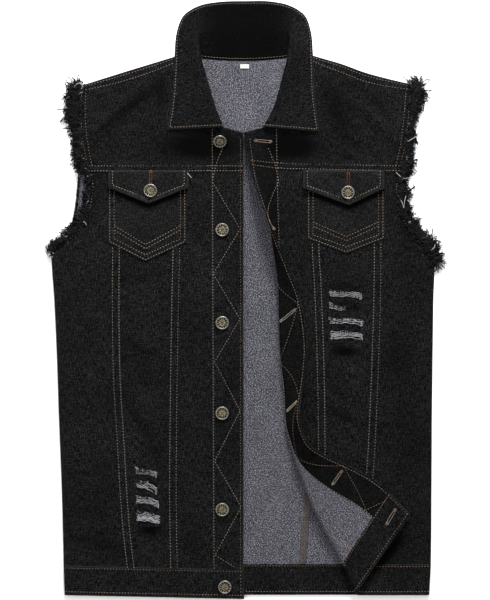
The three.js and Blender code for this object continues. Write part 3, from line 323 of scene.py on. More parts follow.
def closed_edge(side):
    """Corners from the hem up the side, round the armhole and along the shoulder."""
    body = np.column_stack([OUTLINE[side]["x"], OUTLINE[side]["y"]])
    shoulder = np.column_stack([SHOULDER[side]["x"], SHOULDER[side]["y"]])
    return np.vstack([body, shoulder[1:] if side == "right" else shoulder[::-1][1:]])


CLOSED_EDGES = {side: closed_edge(side) for side in ("right", "left")}


def soft_forms(forms, x, y):
    """Sum of long soft humps and troughs."""
    height = np.zeros(np.broadcast(x, y).shape)
    for center_x, center_y, long, wide, angle, rise in forms:
        turn = math.radians(angle)
        along = (x - center_x) * math.cos(turn) + (y - center_y) * math.sin(turn)
        across = (y - center_y) * math.cos(turn) - (x - center_x) * math.sin(turn)
        height += rise * np.exp(-((along / long) ** 2) - (across / wide) ** 2)
    return height


def unevenness(x, y):
    """Gentle waviness of cloth that has been through the wash, never flat."""
    return (
        0.16 * np.sin(x / 19 + 1.3 * np.sin(y / 47)) * np.sin(y / 31 + 0.8)
        + 0.10 * np.sin(x / 8.3 - y / 13.1 + 0.6 * np.sin(x / 29))
        + 0.07 * np.sin(y / 7.1 + x / 17.3 + 1.1 * np.sin(y / 23)))


def front_height(side, x, y):
    """Height of the middle of a front's wall: low at side, armhole and shoulder, rounding up inwards."""
    inward = np.clip(distance_to(CLOSED_EDGES[side], x, y) / SIDE_ROUND, 0, 1)
    rounded = np.sqrt(1 - (1 - inward) ** 2)
    low = mix(HEM_HEIGHT, SIDE_HEIGHT, ease((y - WAIST_SEAM_Y - 4) / 22))
    high = FRONT_LIFT + 1.2 * soft_forms(SWELLS, x, y) + 2.3 * soft_forms(CREASES, x, y) + unevenness(x, y)
    return mix(low, high, rounded)


def left_cut_edge(y):
    (top_x, top_y), (hem_x, hem_y) = LEFT_EDGE_TOP, LEFT_EDGE_HEM
    return mix(top_x, hem_x, (top_y - y) / (top_y - hem_y))


def across_right(x):
    return np.clip((x - RIGHT_SIDE_X) / (BUTTON_EDGE_X - RIGHT_SIDE_X), 0, 1)


def waist_seam(side, x):
    if side == "right":
        return RIGHT_WAIST_SEAM_Y - WAIST_SEAM_DROP * across_right(x)
    return WAIST_SEAM_Y + 0 * x


def yoke_seam(side, x):
    if side == "right":
        return YOKE_SEAM_Y + 0 * x
    return YOKE_SEAM_Y + YOKE_SEAM_RISE * (1 - np.clip(x / LEFT_ARMHOLE_X, 0, 1))


def hem_line(side, x):
    return HEM_Y - FRONT_HEM_DROP * across_right(x) if side == "right" else HEM_Y + 0 * x


def placket_line(side, y):
    if side == "right":
        return BUTTON_EDGE_X - PLACKET_WIDTH + PLACKET_TAPER * (WAIST_SEAM_Y - y)
    return left_cut_edge(y) + PLACKET_WIDTH


def free_edge(side, y):
    return BUTTON_EDGE_X + 0 * y if side == "right" else left_cut_edge(y)


def roll_to(target_x, target_z, radius):
    """Turn and straight run of a roll that starts at the origin and ends at a target."""
    reach = np.maximum(np.hypot(target_x, target_z - radius), radius * 1.001)
    turn = math.pi - np.arctan2(target_z - radius, target_x) + np.arcsin(radius / reach)
    turn = np.where(turn > 1.9 * math.pi, np.maximum(0, turn - 2 * math.pi), turn)
    return turn, radius * turn + np.sqrt(reach**2 - radius**2)


def left_middle(x, y):
    """Middle of the left front's wall at a place of its flat cut, the edge turned back."""
    hold = value_at(TURNED_EDGE, "holdX", y)
    radius = value_at(TURNED_EDGE, "radius", y)
    lean = np.radians(value_at(TURNED_EDGE, "axis", y))
    away_x = value_at(TURNED_EDGE, "edgeX", y) - hold
    away_y = value_at(TURNED_EDGE, "edgeY", y) - y
    inward = away_x * np.cos(lean) + away_y * np.sin(lean)
    drift = away_y * np.cos(lean) - away_x * np.sin(lean)
    turn, run_length = roll_to(inward, value_at(TURNED_EDGE, "edgeZ", y), radius)
    share = np.maximum(0, (hold - x) / (hold - left_cut_edge(y)))
    gone = share * run_length
    arc = np.minimum(turn, gone / radius)
    run = np.maximum(0, gone - radius * turn)
    moved = -radius * np.sin(arc) - run * np.cos(arc)
    up = radius * (1 - np.cos(arc)) + run * np.sin(arc)
    slid = drift * share
    flat_x = np.maximum(x, hold)
    return np.stack([
        flat_x + moved * np.cos(lean) - slid * np.sin(lean),
        y + moved * np.sin(lean) + slid * np.cos(lean),
        front_height("left", flat_x, y) + up], -1)


def right_middle(x, y):
    return np.stack([x + 0 * y, y + 0 * x, front_height("right", x, y)], -1)


MIDDLE = {"right": right_middle, "left": left_middle}
PROBE = 0.4


def unit(v):
    return v / np.maximum(np.linalg.norm(v, axis=-1, keepdims=True), 1e-9)


def place(side, x, y, out):
    """Points at a distance out from the middle of a front's wall, and the cloth's normals there."""
    x, y = np.broadcast_arrays(np.asarray(x, float), np.asarray(y, float))
    middle = MIDDLE[side]
    across = middle(x + PROBE, y) - middle(x - PROBE, y)
    along = middle(x, y + PROBE) - middle(x, y - PROBE)
    normal = unit(np.cross(across, along))
    return middle(x, y) + normal * np.asarray(out)[..., None], normal


# Relief of the fronts' outer face
def felled(d, along, half=ROW_HALF):
    """Top ply of a felled seam, d across it and positive over the ply below, pulled down at its stitches."""
    rise = LAP_RISE * ease((d + half + 4.5) / 4.2)
    pull = -0.38 * (np.exp(-(((d - half) / 0.8) ** 2)) + np.exp(-(((d + half) / 0.8) ** 2)))
    rope = 0.2 * np.sin(along / 1.55 + d / 2.2 + 1.4 * np.sin(along / 21)) * np.exp(-((d / (half + 1)) ** 4))
    return rise + pull + rope


def puckers(d, along, reach=9):
    """Small gathers that fade away from a row of stitches."""
    return 0.16 * np.exp(-np.abs(d) / reach) * np.sin(along / 1.7 + 1.2 * np.sin(along / 17) + d / 6)


def body_lift(side, part, x, y):
    """Relief of one part of a front at places of its flat cut."""
    sign = -1 if side == "right" else 1
    inner = (x - value_at(INNER_SEAM[side], "x", y)) * sign
    outer = (x - value_at(OUTER_SEAM[side], "x", y)) * sign
    yoke = yoke_seam(side, x) - y
    waist = y - waist_seam(side, x)
    lift = puckers(np.minimum(np.abs(yoke), 40), x) + puckers(np.minimum(np.abs(waist), 40), x)
    if part == "inner_panel":
        lift = lift + felled(inner, y)
    elif part == "mid_panel":
        lift = lift + puckers(inner - LAP, y) + puckers(outer + LAP, y)
    elif part == "side_panel":
        lift = lift + felled(-outer, y)
    elif part == "front_yoke":
        lift = felled(yoke, x, YOKE_ROW_HALF)
    elif part == "placket":
        edge = np.abs(x - free_edge(side, y))
        sewn = np.abs(x - placket_line(side, y))
        pull = np.exp(-(((edge - 4) / 0.8) ** 2)) + np.exp(-(((sewn - 1.8) / 0.8) ** 2))
        ridge = 0.5 * np.exp(-((yoke / 5) ** 4))
        lift = 0.7 - 0.3 * pull + puckers(sewn, y) + puckers(edge, y) + ridge
    elif part == "front_waistband":
        foot = y - hem_line(side, x)
        pull = np.exp(-(((waist + 2.6) / 0.8) ** 2)) + np.exp(-(((foot - 3.6) / 0.8) ** 2))
        rope = 0.22 * np.sin(x / 2.1 + 1.5 * np.sin(x / 33)) * np.exp(-np.abs(waist + 4) / 9)
        lift = 0.8 - 0.32 * pull + rope + puckers(foot, x, 6)
    return lift


# Grids, whose first lines lie close to their sides, in millimetres in from them
EDGE_LINES = (0, 0.3, 0.8, 1.6)
EDGE_BAND = 2.4


def crowded(total, step):
    """Shares from 0 to 1 about a step apart, closer at both ends so that edges can round off."""
    edge = np.array(EDGE_LINES) / total
    count = max(1, int(round((total - 4) / step)))
    inside = np.linspace(EDGE_BAND / total, 1 - EDGE_BAND / total, count + 1)
    return np.concatenate([edge, inside, 1 - edge[::-1]])


def between_lines(line_a, line_b, low, high, shares_across, shares_up):
    """Rows of flat places between two lines down the cloth and two levels across it."""
    v = shares_up[:, None] * np.ones_like(shares_across)[None, :]
    u = np.ones_like(shares_up)[:, None] * shares_across[None, :]
    y = mix(np.full_like(v, low(0.0 * v).mean()), high(0.0 * v).mean(), v)
    for _ in range(4):
        x = mix(line_a(y), line_b(y), u)
        y = mix(low(x), high(x), v)
    return np.stack([x, y], -1)


def rounded_share(distance, radius):
    """Share of the full half-thickness at a distance from an edge."""
    t = np.clip(distance / radius, 0, 1)
    return np.maximum(0.12, np.sqrt(1 - (1 - t) ** 2))


def edge_distance(flat):
    """Distance of each grid point from the nearest side of its grid, measured along rows and columns."""
    across = np.linalg.norm(np.diff(flat, axis=1), axis=-1)
    up = np.linalg.norm(np.diff(flat, axis=0), axis=-1)
    zero_column = np.zeros((flat.shape[0], 1))
    zero_row = np.zeros((1, flat.shape[1]))
    left = np.concatenate([zero_column, across.cumsum(1)], 1)
    low = np.concatenate([zero_row, up.cumsum(0)], 0)
    return np.minimum(np.minimum(left, left[:, -1:] - left), np.minimum(low, low[-1:] - low))


def grid_quads(height, width):
    """Faces of a closed wall: inner grid first, outer grid after it, then the rim."""
    j, i = np.mgrid[0:height - 1, 0:width - 1]
    a = (j * width + i).ravel()
    layer = height * width
    inner = np.column_stack([a, a + width, a + width + 1, a + 1])
    outer = np.column_stack([a, a + 1, a + width + 1, a + width]) + layer
    i = np.arange(width - 1)
    top = (height - 1) * width + i
    j = np.arange(height - 1) * width
    right = j + width - 1
    rim = np.vstack([
        np.column_stack([i, i + 1, layer + i + 1, layer + i]),
        np.column_stack([top + 1, top, layer + top, layer + top + 1]),
        np.column_stack([j + width, j, layer + j, layer + j + width]),
        np.column_stack([right, right + width, layer + right + width, layer + right])])
    return inner, outer, rim


def add_object(name, data):
    """A new object in the scene."""
    item = bpy.data.objects.new(name, data)
    bpy.context.scene.collection.objects.link(item)
    return item


def make_mesh(name, points, quads, flat=None, wear_and_painted_shade=None, slots=None, materials=()):
    """An object from points in millimetres and quads, with its flat cut as a UV map in metres."""
    mesh = bpy.data.meshes.new(name)
    mesh.vertices.add(len(points))
    mesh.vertices.foreach_set("co", (np.asarray(points, np.float32) * MM).ravel())
    mesh.loops.add(quads.size)
    mesh.loops.foreach_set("vertex_index", quads.astype(np.int32).ravel())
    mesh.polygons.add(len(quads))
    mesh.polygons.foreach_set("loop_start", np.arange(0, quads.size, quads.shape[1], dtype=np.int32))
    mesh.polygons.foreach_set("use_smooth", np.ones(len(quads), bool))
    if slots is not None:
        mesh.polygons.foreach_set("material_index", slots.astype(np.int32))
    mesh.update(calc_edges=True)
    if flat is not None:
        layer = mesh.uv_layers.new(name="cloth")
        layer.data.foreach_set("uv", (flat[quads.ravel()] * MM).astype(np.float32).ravel())
    if wear_and_painted_shade is not None:
        mesh.attributes.new("wear_and_painted_shade", "FLOAT", "POINT").data.foreach_set("value", wear_and_painted_shade.astype(np.float32))
    for material in materials:
        mesh.materials.append(material)
    return add_object(name, mesh)


def cloth_wall(name, flat, low, high, materials, wear_and_painted_shade=None):
    """A closed wall of cloth over a grid: its reverse at low, its face at high."""
    height, width = flat.shape[:2]
    inner, outer, rim = grid_quads(height, width)
    quads = np.vstack([inner, outer, rim])
    slots = np.concatenate([np.ones(len(inner)), np.zeros(len(outer) + len(rim))])
    if len(materials) == 1:
        slots[:] = 0
    points = np.concatenate([low.reshape(-1, 3), high.reshape(-1, 3)])
    both = np.concatenate([flat.reshape(-1, 2)] * 2)
    worn_and_shaded = np.zeros(flat.shape[:2]) if wear_and_painted_shade is None else wear_and_painted_shade
    return make_mesh(name, points, quads, both, np.concatenate([worn_and_shaded.ravel()] * 2), slots, materials)


def hand_over(piece, slot, *nodes):
    """Gives a piece its body and hides the nodes that it stands for; its slot is not used."""
    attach(piece, BODY)
    if nodes:
        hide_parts(*nodes)


def declare(piece, node, slot):
    """Hands over a piece of cloth."""
    hand_over(piece, slot, node)


# Node trees, with noise scales to the metre: 1.1 mm, 45 mm and 1.5 mm
THREAD_GRAIN = 900.0
THREAD_PATCHES = 22.0
METAL_PATCHES = 650.0
TWILL = 1.6


def fill_inputs(tree, node, inputs):
    """Sets a node's inputs; an input is a value, or the output socket that feeds it."""
    for key, value in inputs.items():
        if isinstance(value, bpy.types.NodeSocket):
            tree.links.new(value, node.inputs[key])
        else:
            node.inputs[key].default_value = value


def add_node(tree, kind, inputs=None, **settings):
    """Adds a node with its settings and inputs."""
    node = tree.nodes.new(kind)
    for name, value in settings.items():
        setattr(node, name, value)
    fill_inputs(tree, node, inputs or {})
    return node


def new_material(name, viewport):
    """An empty material with its Principled shader linked to the output."""
    material = bpy.data.materials.new(name)
    material.use_nodes = True
    material.diffuse_color = viewport
    tree = material.node_tree
    tree.nodes.clear()
    shader = add_node(tree, "ShaderNodeBsdfPrincipled")
    add_node(tree, "ShaderNodeOutputMaterial", {"Surface": shader.outputs["BSDF"]})
    return material, tree, shader


def cloth_millimetres(tree):
    """The flat cut's coordinates in millimetres."""
    flat = add_node(tree, "ShaderNodeUVMap", uv_map="cloth")
    return add_node(
        tree, "ShaderNodeVectorMath", {0: flat.outputs["UV"], "Scale": 1 / MM}, operation="SCALE").outputs[0]


def stretched(tree, vector, x_size, y_size, turn=0):
    """Coordinates whose unit is a grain of x_size by y_size millimetres, turned about the cloth's normal."""
    return add_node(tree, "ShaderNodeMapping", {
        "Vector": vector, "Scale": (1 / x_size, 1 / y_size, 1), "Rotation": (0, 0, turn)}).outputs[0]


def noise(tree, vector, detail=2.0, roughness=0.6):
    return add_node(tree, "ShaderNodeTexNoise", {
        "Vector": vector, "Scale": 1.0, "Detail": detail, "Roughness": roughness}).outputs["Fac"]


def remap(tree, value, low, high, to_low=0.0, to_high=1.0):
    return add_node(tree, "ShaderNodeMapRange", {
        "Value": value, "From Min": low, "From Max": high, "To Min": to_low, "To Max": to_high}).outputs[0]


def blend_colours(tree, factor, a, b):
    return add_node(
        tree, "ShaderNodeMix", {0: factor, 6: a, 7: b}, data_type="RGBA", blend_type="MIX").outputs[2]


def calculate(tree, operation, a, b=0.0):
    return add_node(tree, "ShaderNodeMath", {0: a, 1: b}, operation=operation).outputs[0]


def weighted(tree, *parts):
    """Sum of values times their weights."""
    total = None
    for value, weight in parts:
        scaled = calculate(tree, "MULTIPLY", value, weight)
        total = scaled if total is None else calculate(tree, "ADD", total, scaled)
    return total


def noise_in_place(tree, scale, detail):
    """Noise on the piece's own coordinates."""
    at = add_node(tree, "ShaderNodeTexCoord").outputs["Object"]
    return add_node(
        tree, "ShaderNodeTexNoise", {"Vector": at, "Scale": scale, "Detail": detail}).outputs["Fac"]


def twill_lines(tree, flat, lean, distortion):
    """The weave's diagonals; the real twill is 0.6 mm and is drawn coarser, so that it shows in a picture."""
    return add_node(tree, "ShaderNodeTexWave", {
        "Vector": stretched(tree, flat, TWILL, TWILL, math.radians(lean)), "Scale": 0.32,
        "Distortion": distortion, "Detail": 2.0, "Detail Scale": 1.6}, bands_direction="X").outputs["Fac"]


def woven_bump(tree, height, strength):
    """Bump of a weave 0.5 mm deep."""
    return add_node(tree, "ShaderNodeBump", {
        "Height": height, "Strength": strength, "Distance": 0.5 * MM}).outputs[0]


def black_denim(settings):
    """Black denim after washing: near-black warp twill with grey weft flecks, slubs, soft fading at edges,
    and painted shade where its attribute drops below zero.
    """
    material, tree, shader = new_material("black_denim_twill", settings.face)
    flat = cloth_millimetres(tree)
    twill = twill_lines(tree, flat, 62, 2.2)
    flecks = noise(tree, stretched(tree, flat, 1.25, 0.85), 2.0, 0.7)
    slubs = noise(tree, stretched(tree, flat, 1.0, 8))
    weft = noise(tree, stretched(tree, flat, 14, 1.2))
    fading = noise(tree, stretched(tree, flat, 55, 75), 1.2, 0.5)
    grain = weighted(tree, (flecks, 0.6), (slubs, 0.25), (weft, 0.15), (twill, 0.10))
    shown = remap(tree, grain, 0.575, 0.79)
    shown = calculate(tree, "MULTIPLY", shown, remap(tree, fading, 0.3, 0.7, 0.6, 1.0))
    # Wear above zero is a faded edge; below zero it is painted shade, which dims the flecks.
    wear_and_painted_shade = add_node(tree, "ShaderNodeAttribute", attribute_name="wear_and_painted_shade").outputs["Fac"]
    painted_shade_factor = calculate(tree, "ADD", calculate(tree, "MINIMUM", wear_and_painted_shade, 0.0), 1.0)
    base = blend_colours(tree, calculate(tree, "MULTIPLY", shown, painted_shade_factor), settings.face, settings.fleck)
    worn_and_shaded = calculate(tree, "MULTIPLY", wear_and_painted_shade, remap(tree, flecks, 0.35, 0.65, 0.2, 1.0))
    base = blend_colours(tree, worn_and_shaded, base, settings.wear_and_painted_shade)
    height = calculate(tree, "ADD", grain, calculate(tree, "MULTIPLY", twill, 0.25))
    fill_inputs(tree, shader, {
        "Base Color": base, "Normal": woven_bump(tree, height, 0.55), "Roughness": 0.88,
        "Specular IOR Level": 0.012, "Sheen Weight": 0.001, "Sheen Roughness": 0.5})
    return material


def grey_reverse(settings):
    """Reverse of the denim: mostly undyed weft, a cool mid grey salted with dark warp points."""
    material, tree, shader = new_material("grey_denim_reverse", settings.reverse)
    flat = cloth_millimetres(tree)
    flecks = noise(tree, stretched(tree, flat, 1.3, 1.1), 2.0, 0.7)
    clouds = noise(tree, stretched(tree, flat, 30, 45), 3.0)
    grain = weighted(tree, (flecks, 0.8), (twill_lines(tree, flat, -62, 2.5), 0.12))
    base = blend_colours(tree, remap(tree, grain, 0.43, 0.50), settings.reverse_dark, settings.reverse)
    base = blend_colours(tree, remap(tree, grain, 0.51, 0.60), base, settings.reverse_light)
    base = blend_colours(tree, remap(tree, clouds, 0.3, 0.7, 0.0, 0.25), base, settings.reverse_dark)
    fill_inputs(tree, shader, {
        "Base Color": base, "Normal": woven_bump(tree, grain, 0.5), "Roughness": 0.92,
        "Specular IOR Level": 0.2})
    return material


def thread_material(name, pale, deep, drift_range):
    """Spun thread whose shade attribute runs from its deep to its pale colour."""
    material, tree, shader = new_material(name, deep)
    shade = add_node(tree, "ShaderNodeAttribute", attribute_name="shade").outputs["Fac"]
    grain = noise_in_place(tree, THREAD_GRAIN, 1.0)
    patches = noise_in_place(tree, THREAD_PATCHES, 2.0)
    drift = calculate(tree, "ADD", shade, remap(tree, patches, 0.3, 0.7, -drift_range, drift_range))
    drift = calculate(tree, "MAXIMUM", calculate(tree, "MINIMUM", drift, 1.0), 0.0)
    base = blend_colours(tree, drift, deep, pale)
    base = blend_colours(tree, remap(tree, grain, 0.3, 0.7, 0.0, 0.45), base, (0, 0, 0, 1))
    fill_inputs(tree, shader, {"Base Color": base, "Roughness": 0.75, "Specular IOR Level": 0.12})
    return material


def make_materials():
    scene = bpy.context.scene
    cloth, sewing, fray = scene.vest_cloth, scene.vest_sewing, scene.vest_fray
    return {
        "denim": black_denim(cloth),
        "reverse": grey_reverse(cloth),
        "topstitch": thread_material("polyester_topstitch_thread", sewing.tan, sewing.rust, 0.3),
        "buttonhole": thread_material("rust_buttonhole_thread", sewing.tan, sewing.rust_deep, 0.25),
        "fray": thread_material("frayed_cotton_thread", fray.pale, fray.black, 0.0),
    }


MATERIALS = {}


def finish_of(name):
    """A material by its short name, all made on first use."""
    if not MATERIALS:
        MATERIALS.update(make_materials())
    return MATERIALS[name]


# Geometry Nodes
def new_tree(name, sockets):
    """A Geometry Nodes tree with a geometry in and out and named inputs."""
    tree = bpy.data.node_groups.new(name, "GeometryNodeTree")
    tree.interface.new_socket("Geometry", in_out="INPUT", socket_type="NodeSocketGeometry")
    for label, (kind, value) in sockets.items():
        socket = tree.interface.new_socket(label, in_out="INPUT", socket_type=kind)
        if value is not None:
            socket.default_value = value
    tree.interface.new_socket("Geometry", in_out="OUTPUT", socket_type="NodeSocketGeometry")
    return tree, tree.nodes.new("NodeGroupInput").outputs


def bake(piece):
    """Turns a piece with its modifiers into a plain mesh."""
    bpy.context.view_layer.update()
    evaluated = piece.evaluated_get(bpy.context.evaluated_depsgraph_get())
    mesh = bpy.data.meshes.new_from_object(evaluated)
    piece.modifiers.clear()
    piece.data = mesh


def apply_tree(piece, tree, values):
    """Runs a tree on a piece with its inputs set by identifier, and bakes the result."""
    modifier = piece.modifiers.new(tree.name, "NODES")
    modifier.node_group = tree
    for item in tree.interface.items_tree:
        if item.in_out == "INPUT" and item.name in values:
            modifier[item.identifier] = values[item.name]
    bake(piece)
    piece.data.name = piece.name


def made_real(tree, geometry, material):
    """Instances made real, their faces smooth and their material set."""
    real = add_node(tree, "GeometryNodeRealizeInstances", {"Geometry": geometry})
    smooth = add_node(tree, "GeometryNodeSetShadeSmooth", {"Geometry": real.outputs[0]})
    made = add_node(tree, "GeometryNodeSetMaterial", {"Geometry": smooth.outputs[0], "Material": material})
    return made.outputs[0]


def close_tree(tree, geometry, material):
    add_node(tree, "NodeGroupOutput", {0: made_real(tree, geometry, material)})


def attribute_of(tree, name, data_type="FLOAT"):
    return add_node(tree, "GeometryNodeInputNamedAttribute", {"Name": name}, data_type=data_type).outputs[0]


def along_axis(tree, axis, value):
    return add_node(tree, "ShaderNodeCombineXYZ", {axis: value}).outputs[0]


def stitch_tree():
    """Arched stitches a pitch apart along rows of points that carry the cloth's normal as up."""
    tree, given = new_tree("stitch_rows", {
        "Pitch": ("NodeSocketFloat", 0.003), "Length": ("NodeSocketFloat", 0.0023),
        "Width": ("NodeSocketFloat", 0.0008), "Thread": ("NodeSocketMaterial", None)})
    half = calculate(tree, "MULTIPLY", given["Length"], 0.5)
    back = calculate(tree, "MULTIPLY", half, -1.0)
    line = add_node(tree, "GeometryNodeCurvePrimitiveLine", {
        "Start": along_axis(tree, "X", back), "End": along_axis(tree, "X", half)})
    arch = add_node(tree, "GeometryNodeResampleCurve", {"Curve": line.outputs[0], "Count": 5})
    at = add_node(tree, "ShaderNodeSeparateXYZ", {0: add_node(tree, "GeometryNodeInputPosition").outputs[0]})
    share = calculate(tree, "DIVIDE", at.outputs["X"], half)
    hump = calculate(tree, "SUBTRACT", 1.0, calculate(tree, "MULTIPLY", share, share))
    low = calculate(tree, "ADD", calculate(tree, "MULTIPLY", hump, given["Width"]), -0.3 * MM)
    bent = add_node(tree, "GeometryNodeSetPosition", {
        "Geometry": arch.outputs[0], "Offset": along_axis(tree, "Z", low)})
    radius = calculate(tree, "MULTIPLY", remap(tree, hump, 0.0, 1.0, 0.26, 0.5), given["Width"])
    profile = add_node(tree, "GeometryNodeCurvePrimitiveCircle", {"Resolution": 4, "Radius": 1.0})
    stitch = add_node(tree, "GeometryNodeCurveToMesh", {
        "Curve": bent.outputs[0], "Profile Curve": profile.outputs[0], "Scale": radius, "Fill Caps": True})
    rows = add_node(tree, "GeometryNodeMeshToCurve", {"Mesh": given["Geometry"]})
    spaced = add_node(tree, "GeometryNodeResampleCurve", {
        "Curve": rows.outputs[0], "Length": given["Pitch"]}, mode="LENGTH")
    forward = add_node(tree, "FunctionNodeAlignRotationToVector", {
        "Vector": add_node(tree, "GeometryNodeInputTangent").outputs[0]}, axis="X")
    turned = add_node(tree, "FunctionNodeAlignRotationToVector", {
        "Rotation": forward.outputs[0], "Vector": attribute_of(tree, "up", "FLOAT_VECTOR")},
        axis="Z", pivot_axis="X")
    placed = add_node(tree, "GeometryNodeInstanceOnPoints", {
        "Points": spaced.outputs[0], "Instance": stitch.outputs[0], "Rotation": turned.outputs[0]})
    close_tree(tree, placed.outputs[0], given["Thread"])
    return tree


def thread_tree():
    """Round threads along paths that carry their own radius."""
    tree, given = new_tree("thread_paths", {
        "Sides": ("NodeSocketInt", 4), "Thickness": ("NodeSocketFloat", 1.0),
        "Thread": ("NodeSocketMaterial", None)})
    paths = add_node(tree, "GeometryNodeMeshToCurve", {"Mesh": given["Geometry"]})
    thick = calculate(tree, "MULTIPLY", attribute_of(tree, "thread_radius"), given["Thickness"])
    profile = add_node(
        tree, "GeometryNodeCurvePrimitiveCircle", {"Resolution": given["Sides"], "Radius": 1.0})
    tube = add_node(tree, "GeometryNodeCurveToMesh", {
        "Curve": paths.outputs[0], "Profile Curve": profile.outputs[0], "Scale": thick,
        "Fill Caps": True})
    close_tree(tree, tube.outputs[0], given["Thread"])
    return tree


TREES = {}


def tree_of(maker):
    if maker not in TREES:
        TREES[maker] = maker()
    return TREES[maker]


def paths_object(name, paths, **attributes):
    """Loose edges through lists of points in millimetres; each attribute is a list with a row per path."""
    counts = [len(path) for path in paths]
    starts = np.concatenate([[0], np.cumsum(counts)])[:-1]
    edges = np.vstack([
        np.column_stack([np.arange(n - 1), np.arange(1, n)]) + start for n, start in zip(counts, starts)])
    mesh = bpy.data.meshes.new(name)
    points = np.vstack(paths) * MM
    mesh.vertices.add(len(points))
    mesh.vertices.foreach_set("co", points.astype(np.float32).ravel())
    mesh.edges.add(len(edges))
    mesh.edges.foreach_set("vertices", edges.astype(np.int32).ravel())
    for key, rows in attributes.items():
        if key == "up":
            attribute = mesh.attributes.new(key, "FLOAT_VECTOR", "POINT")
            attribute.data.foreach_set("vector", np.vstack(rows).astype(np.float32).ravel())
        else:
            values = np.concatenate([np.broadcast_to(row, n) for row, n in zip(rows, counts)])
            mesh.attributes.new(key, "FLOAT", "POINT").data.foreach_set("value", values.astype(np.float32))
    return add_object(name, mesh)


def resampled(corners, step=2.0):
    """Points a step apart along corners, the corners themselves kept."""
    corners = np.asarray(corners, float)
    out = [corners[:1]]
    for a, b in zip(corners[:-1], corners[1:]):
        count = max(1, int(round(np.linalg.norm(b - a) / step)))
        out.append(a + (b - a) * (np.arange(1, count + 1) / count)[:, None])
    return np.vstack(out)


def sew(name, rows, slot="black_denim"):
    """One piece of topstitching from rows of (points, normals, shade)."""
    sewing = bpy.context.scene.vest_sewing
    piece = paths_object(
        name, [row[0] for row in rows], up=[row[1] for row in rows], shade=[row[2] for row in rows])
    apply_tree(piece, tree_of(stitch_tree), {
        "Pitch": sewing.pitch, "Length": sewing.stitch, "Width": sewing.thread,
        "Thread": finish_of("topstitch")})
    hand_over(piece, slot)


def threads(name, paths, radii, shades, material, slot, sides=4, nodes=()):
    """One piece of loose or satin threads along paths."""
    piece = paths_object(name, paths, thread_radius=radii, shade=shades)
    apply_tree(piece, tree_of(thread_tree), {"Sides": sides, "Thickness": 1.0, "Thread": finish_of(material)})
    hand_over(piece, slot, *nodes)


# Fronts
def settings_mm():
    cloth = bpy.context.scene.vest_cloth
    return cloth.single / MM / 2, cloth.doubled / MM / 2, cloth.step / MM, cloth.fold_step / MM


def wear_from(distance, reach=1.6, strength=0.8):
    """Fading that is strongest on an edge."""
    return strength * np.exp(-((distance / reach) ** 2))


def front_piece(side, part, flat, half, materials, base=0.0, round_radius=1.0, strength=0.45):
    """One part of a front: its grid of flat places laid on the front's form, with its relief."""
    lift = body_lift(side, part, flat[..., 0], flat[..., 1]) + base
    distance = edge_distance(flat)
    share = rounded_share(distance, round_radius)
    low, _ = place(side, flat[..., 0], flat[..., 1], lift * 0.35 - half * share)
    high, _ = place(side, flat[..., 0], flat[..., 1], lift + half * share)
    # Painted shade from the table of shade forms, taken off the worn-edge value below
    painted_shade = np.clip(soft_forms(PAINTED_SHADE_FORMS, flat[..., 0], flat[..., 1]), 0, 1)
    # The turned-back left placket gets painted shade all over
    if side == "left" and part == "placket":
        painted_shade = np.maximum(painted_shade, 0.55)
    wear_and_painted_shade = wear_from(distance, strength=strength) - painted_shade
    return cloth_wall(f"{part}_cloth_{side}", flat, low, high, materials, wear_and_painted_shade)


def front_grids(side):
    """Flat grids of one front's body parts, laps included."""
    _, _, step, fold_step = settings_mm()
    right = side == "right"
    out = -1 if right else 1
    inner = lambda y: value_at(INNER_SEAM[side], "x", y)
    outer = lambda y: value_at(OUTER_SEAM[side], "x", y)
    edge = lambda y: value_at(OUTLINE[side], "x", y)
    sewn = lambda y: placket_line(side, y)
    low = lambda x: waist_seam(side, x) - 6
    high = lambda x: yoke_seam(side, x) + 6
    up = crowded(530, step)
    near = step if right else fold_step

    def strip(a, b, width, spacing):
        lines = (b, a) if right else (a, b)
        return between_lines(lines[0], lines[1], low, high, crowded(width, spacing), up)

    return {
        "inner_panel": strip(lambda y: sewn(y) - out * 6, lambda y: inner(y) + out * LAP, 60, near),
        "mid_panel": strip(lambda y: inner(y) - out * LAP, lambda y: outer(y) + out * LAP, 88, near),
        "side_panel": strip(lambda y: outer(y) - out * LAP, edge, 80, step),
    }


def placket_grid(side):
    _, _, step, fold_step = settings_mm()
    right = side == "right"
    sewn = lambda y: placket_line(side, y)
    free = lambda y: free_edge(side, y) - (0 if right else 3.4 * ease((y - 150) / 45))
    top_x = sewn(NECKLINE_AT_PLACKET_Y)
    across_top = lambda x: np.clip(np.abs(x - top_x) / PLACKET_WIDTH, 0, 1)
    high = lambda x: mix(NECKLINE_AT_PLACKET_Y, NECKLINE_AT_EDGE_Y, across_top(x))
    lines = (sewn, free) if right else (free, sewn)
    across = crowded(PLACKET_WIDTH, step if right else fold_step)
    return between_lines(*lines, lambda x: waist_seam(side, x) - 3, high, across, crowded(580, step))


def waistband_grid(side):
    _, _, step, fold_step = settings_mm()
    right = side == "right"
    free = lambda y: free_edge(side, y) + (1 if right else 0)
    edge = lambda y: value_at(OUTLINE[side], "x", y)
    lines = (edge, free) if right else (free, edge)
    across = crowded(240, step if right else fold_step)
    return between_lines(
        *lines, lambda x: hem_line(side, x), lambda x: waist_seam(side, x) + 0.4, across,
        crowded(39, step * 0.8))


def yoke_grid(side):
    _, _, step, _ = settings_mm()
    right = side == "right"

    def inner(y):
        neck = value_at(NECKLINE[side], "x", y)
        flat = placket_line(side, y) + (6 if right else -6)
        return np.where(y < NECKLINE_AT_PLACKET_Y, flat, neck)

    armhole = lambda y: value_at(OUTLINE[side], "x", y)
    shoulder = lambda x: value_at(SHOULDER[side], "y", x, "x")
    low = lambda x: yoke_seam(side, x) - LAP + 0.8
    lines = (armhole, inner) if right else (inner, armhole)
    return between_lines(*lines, low, shoulder, crowded(175, step), crowded(130, step))


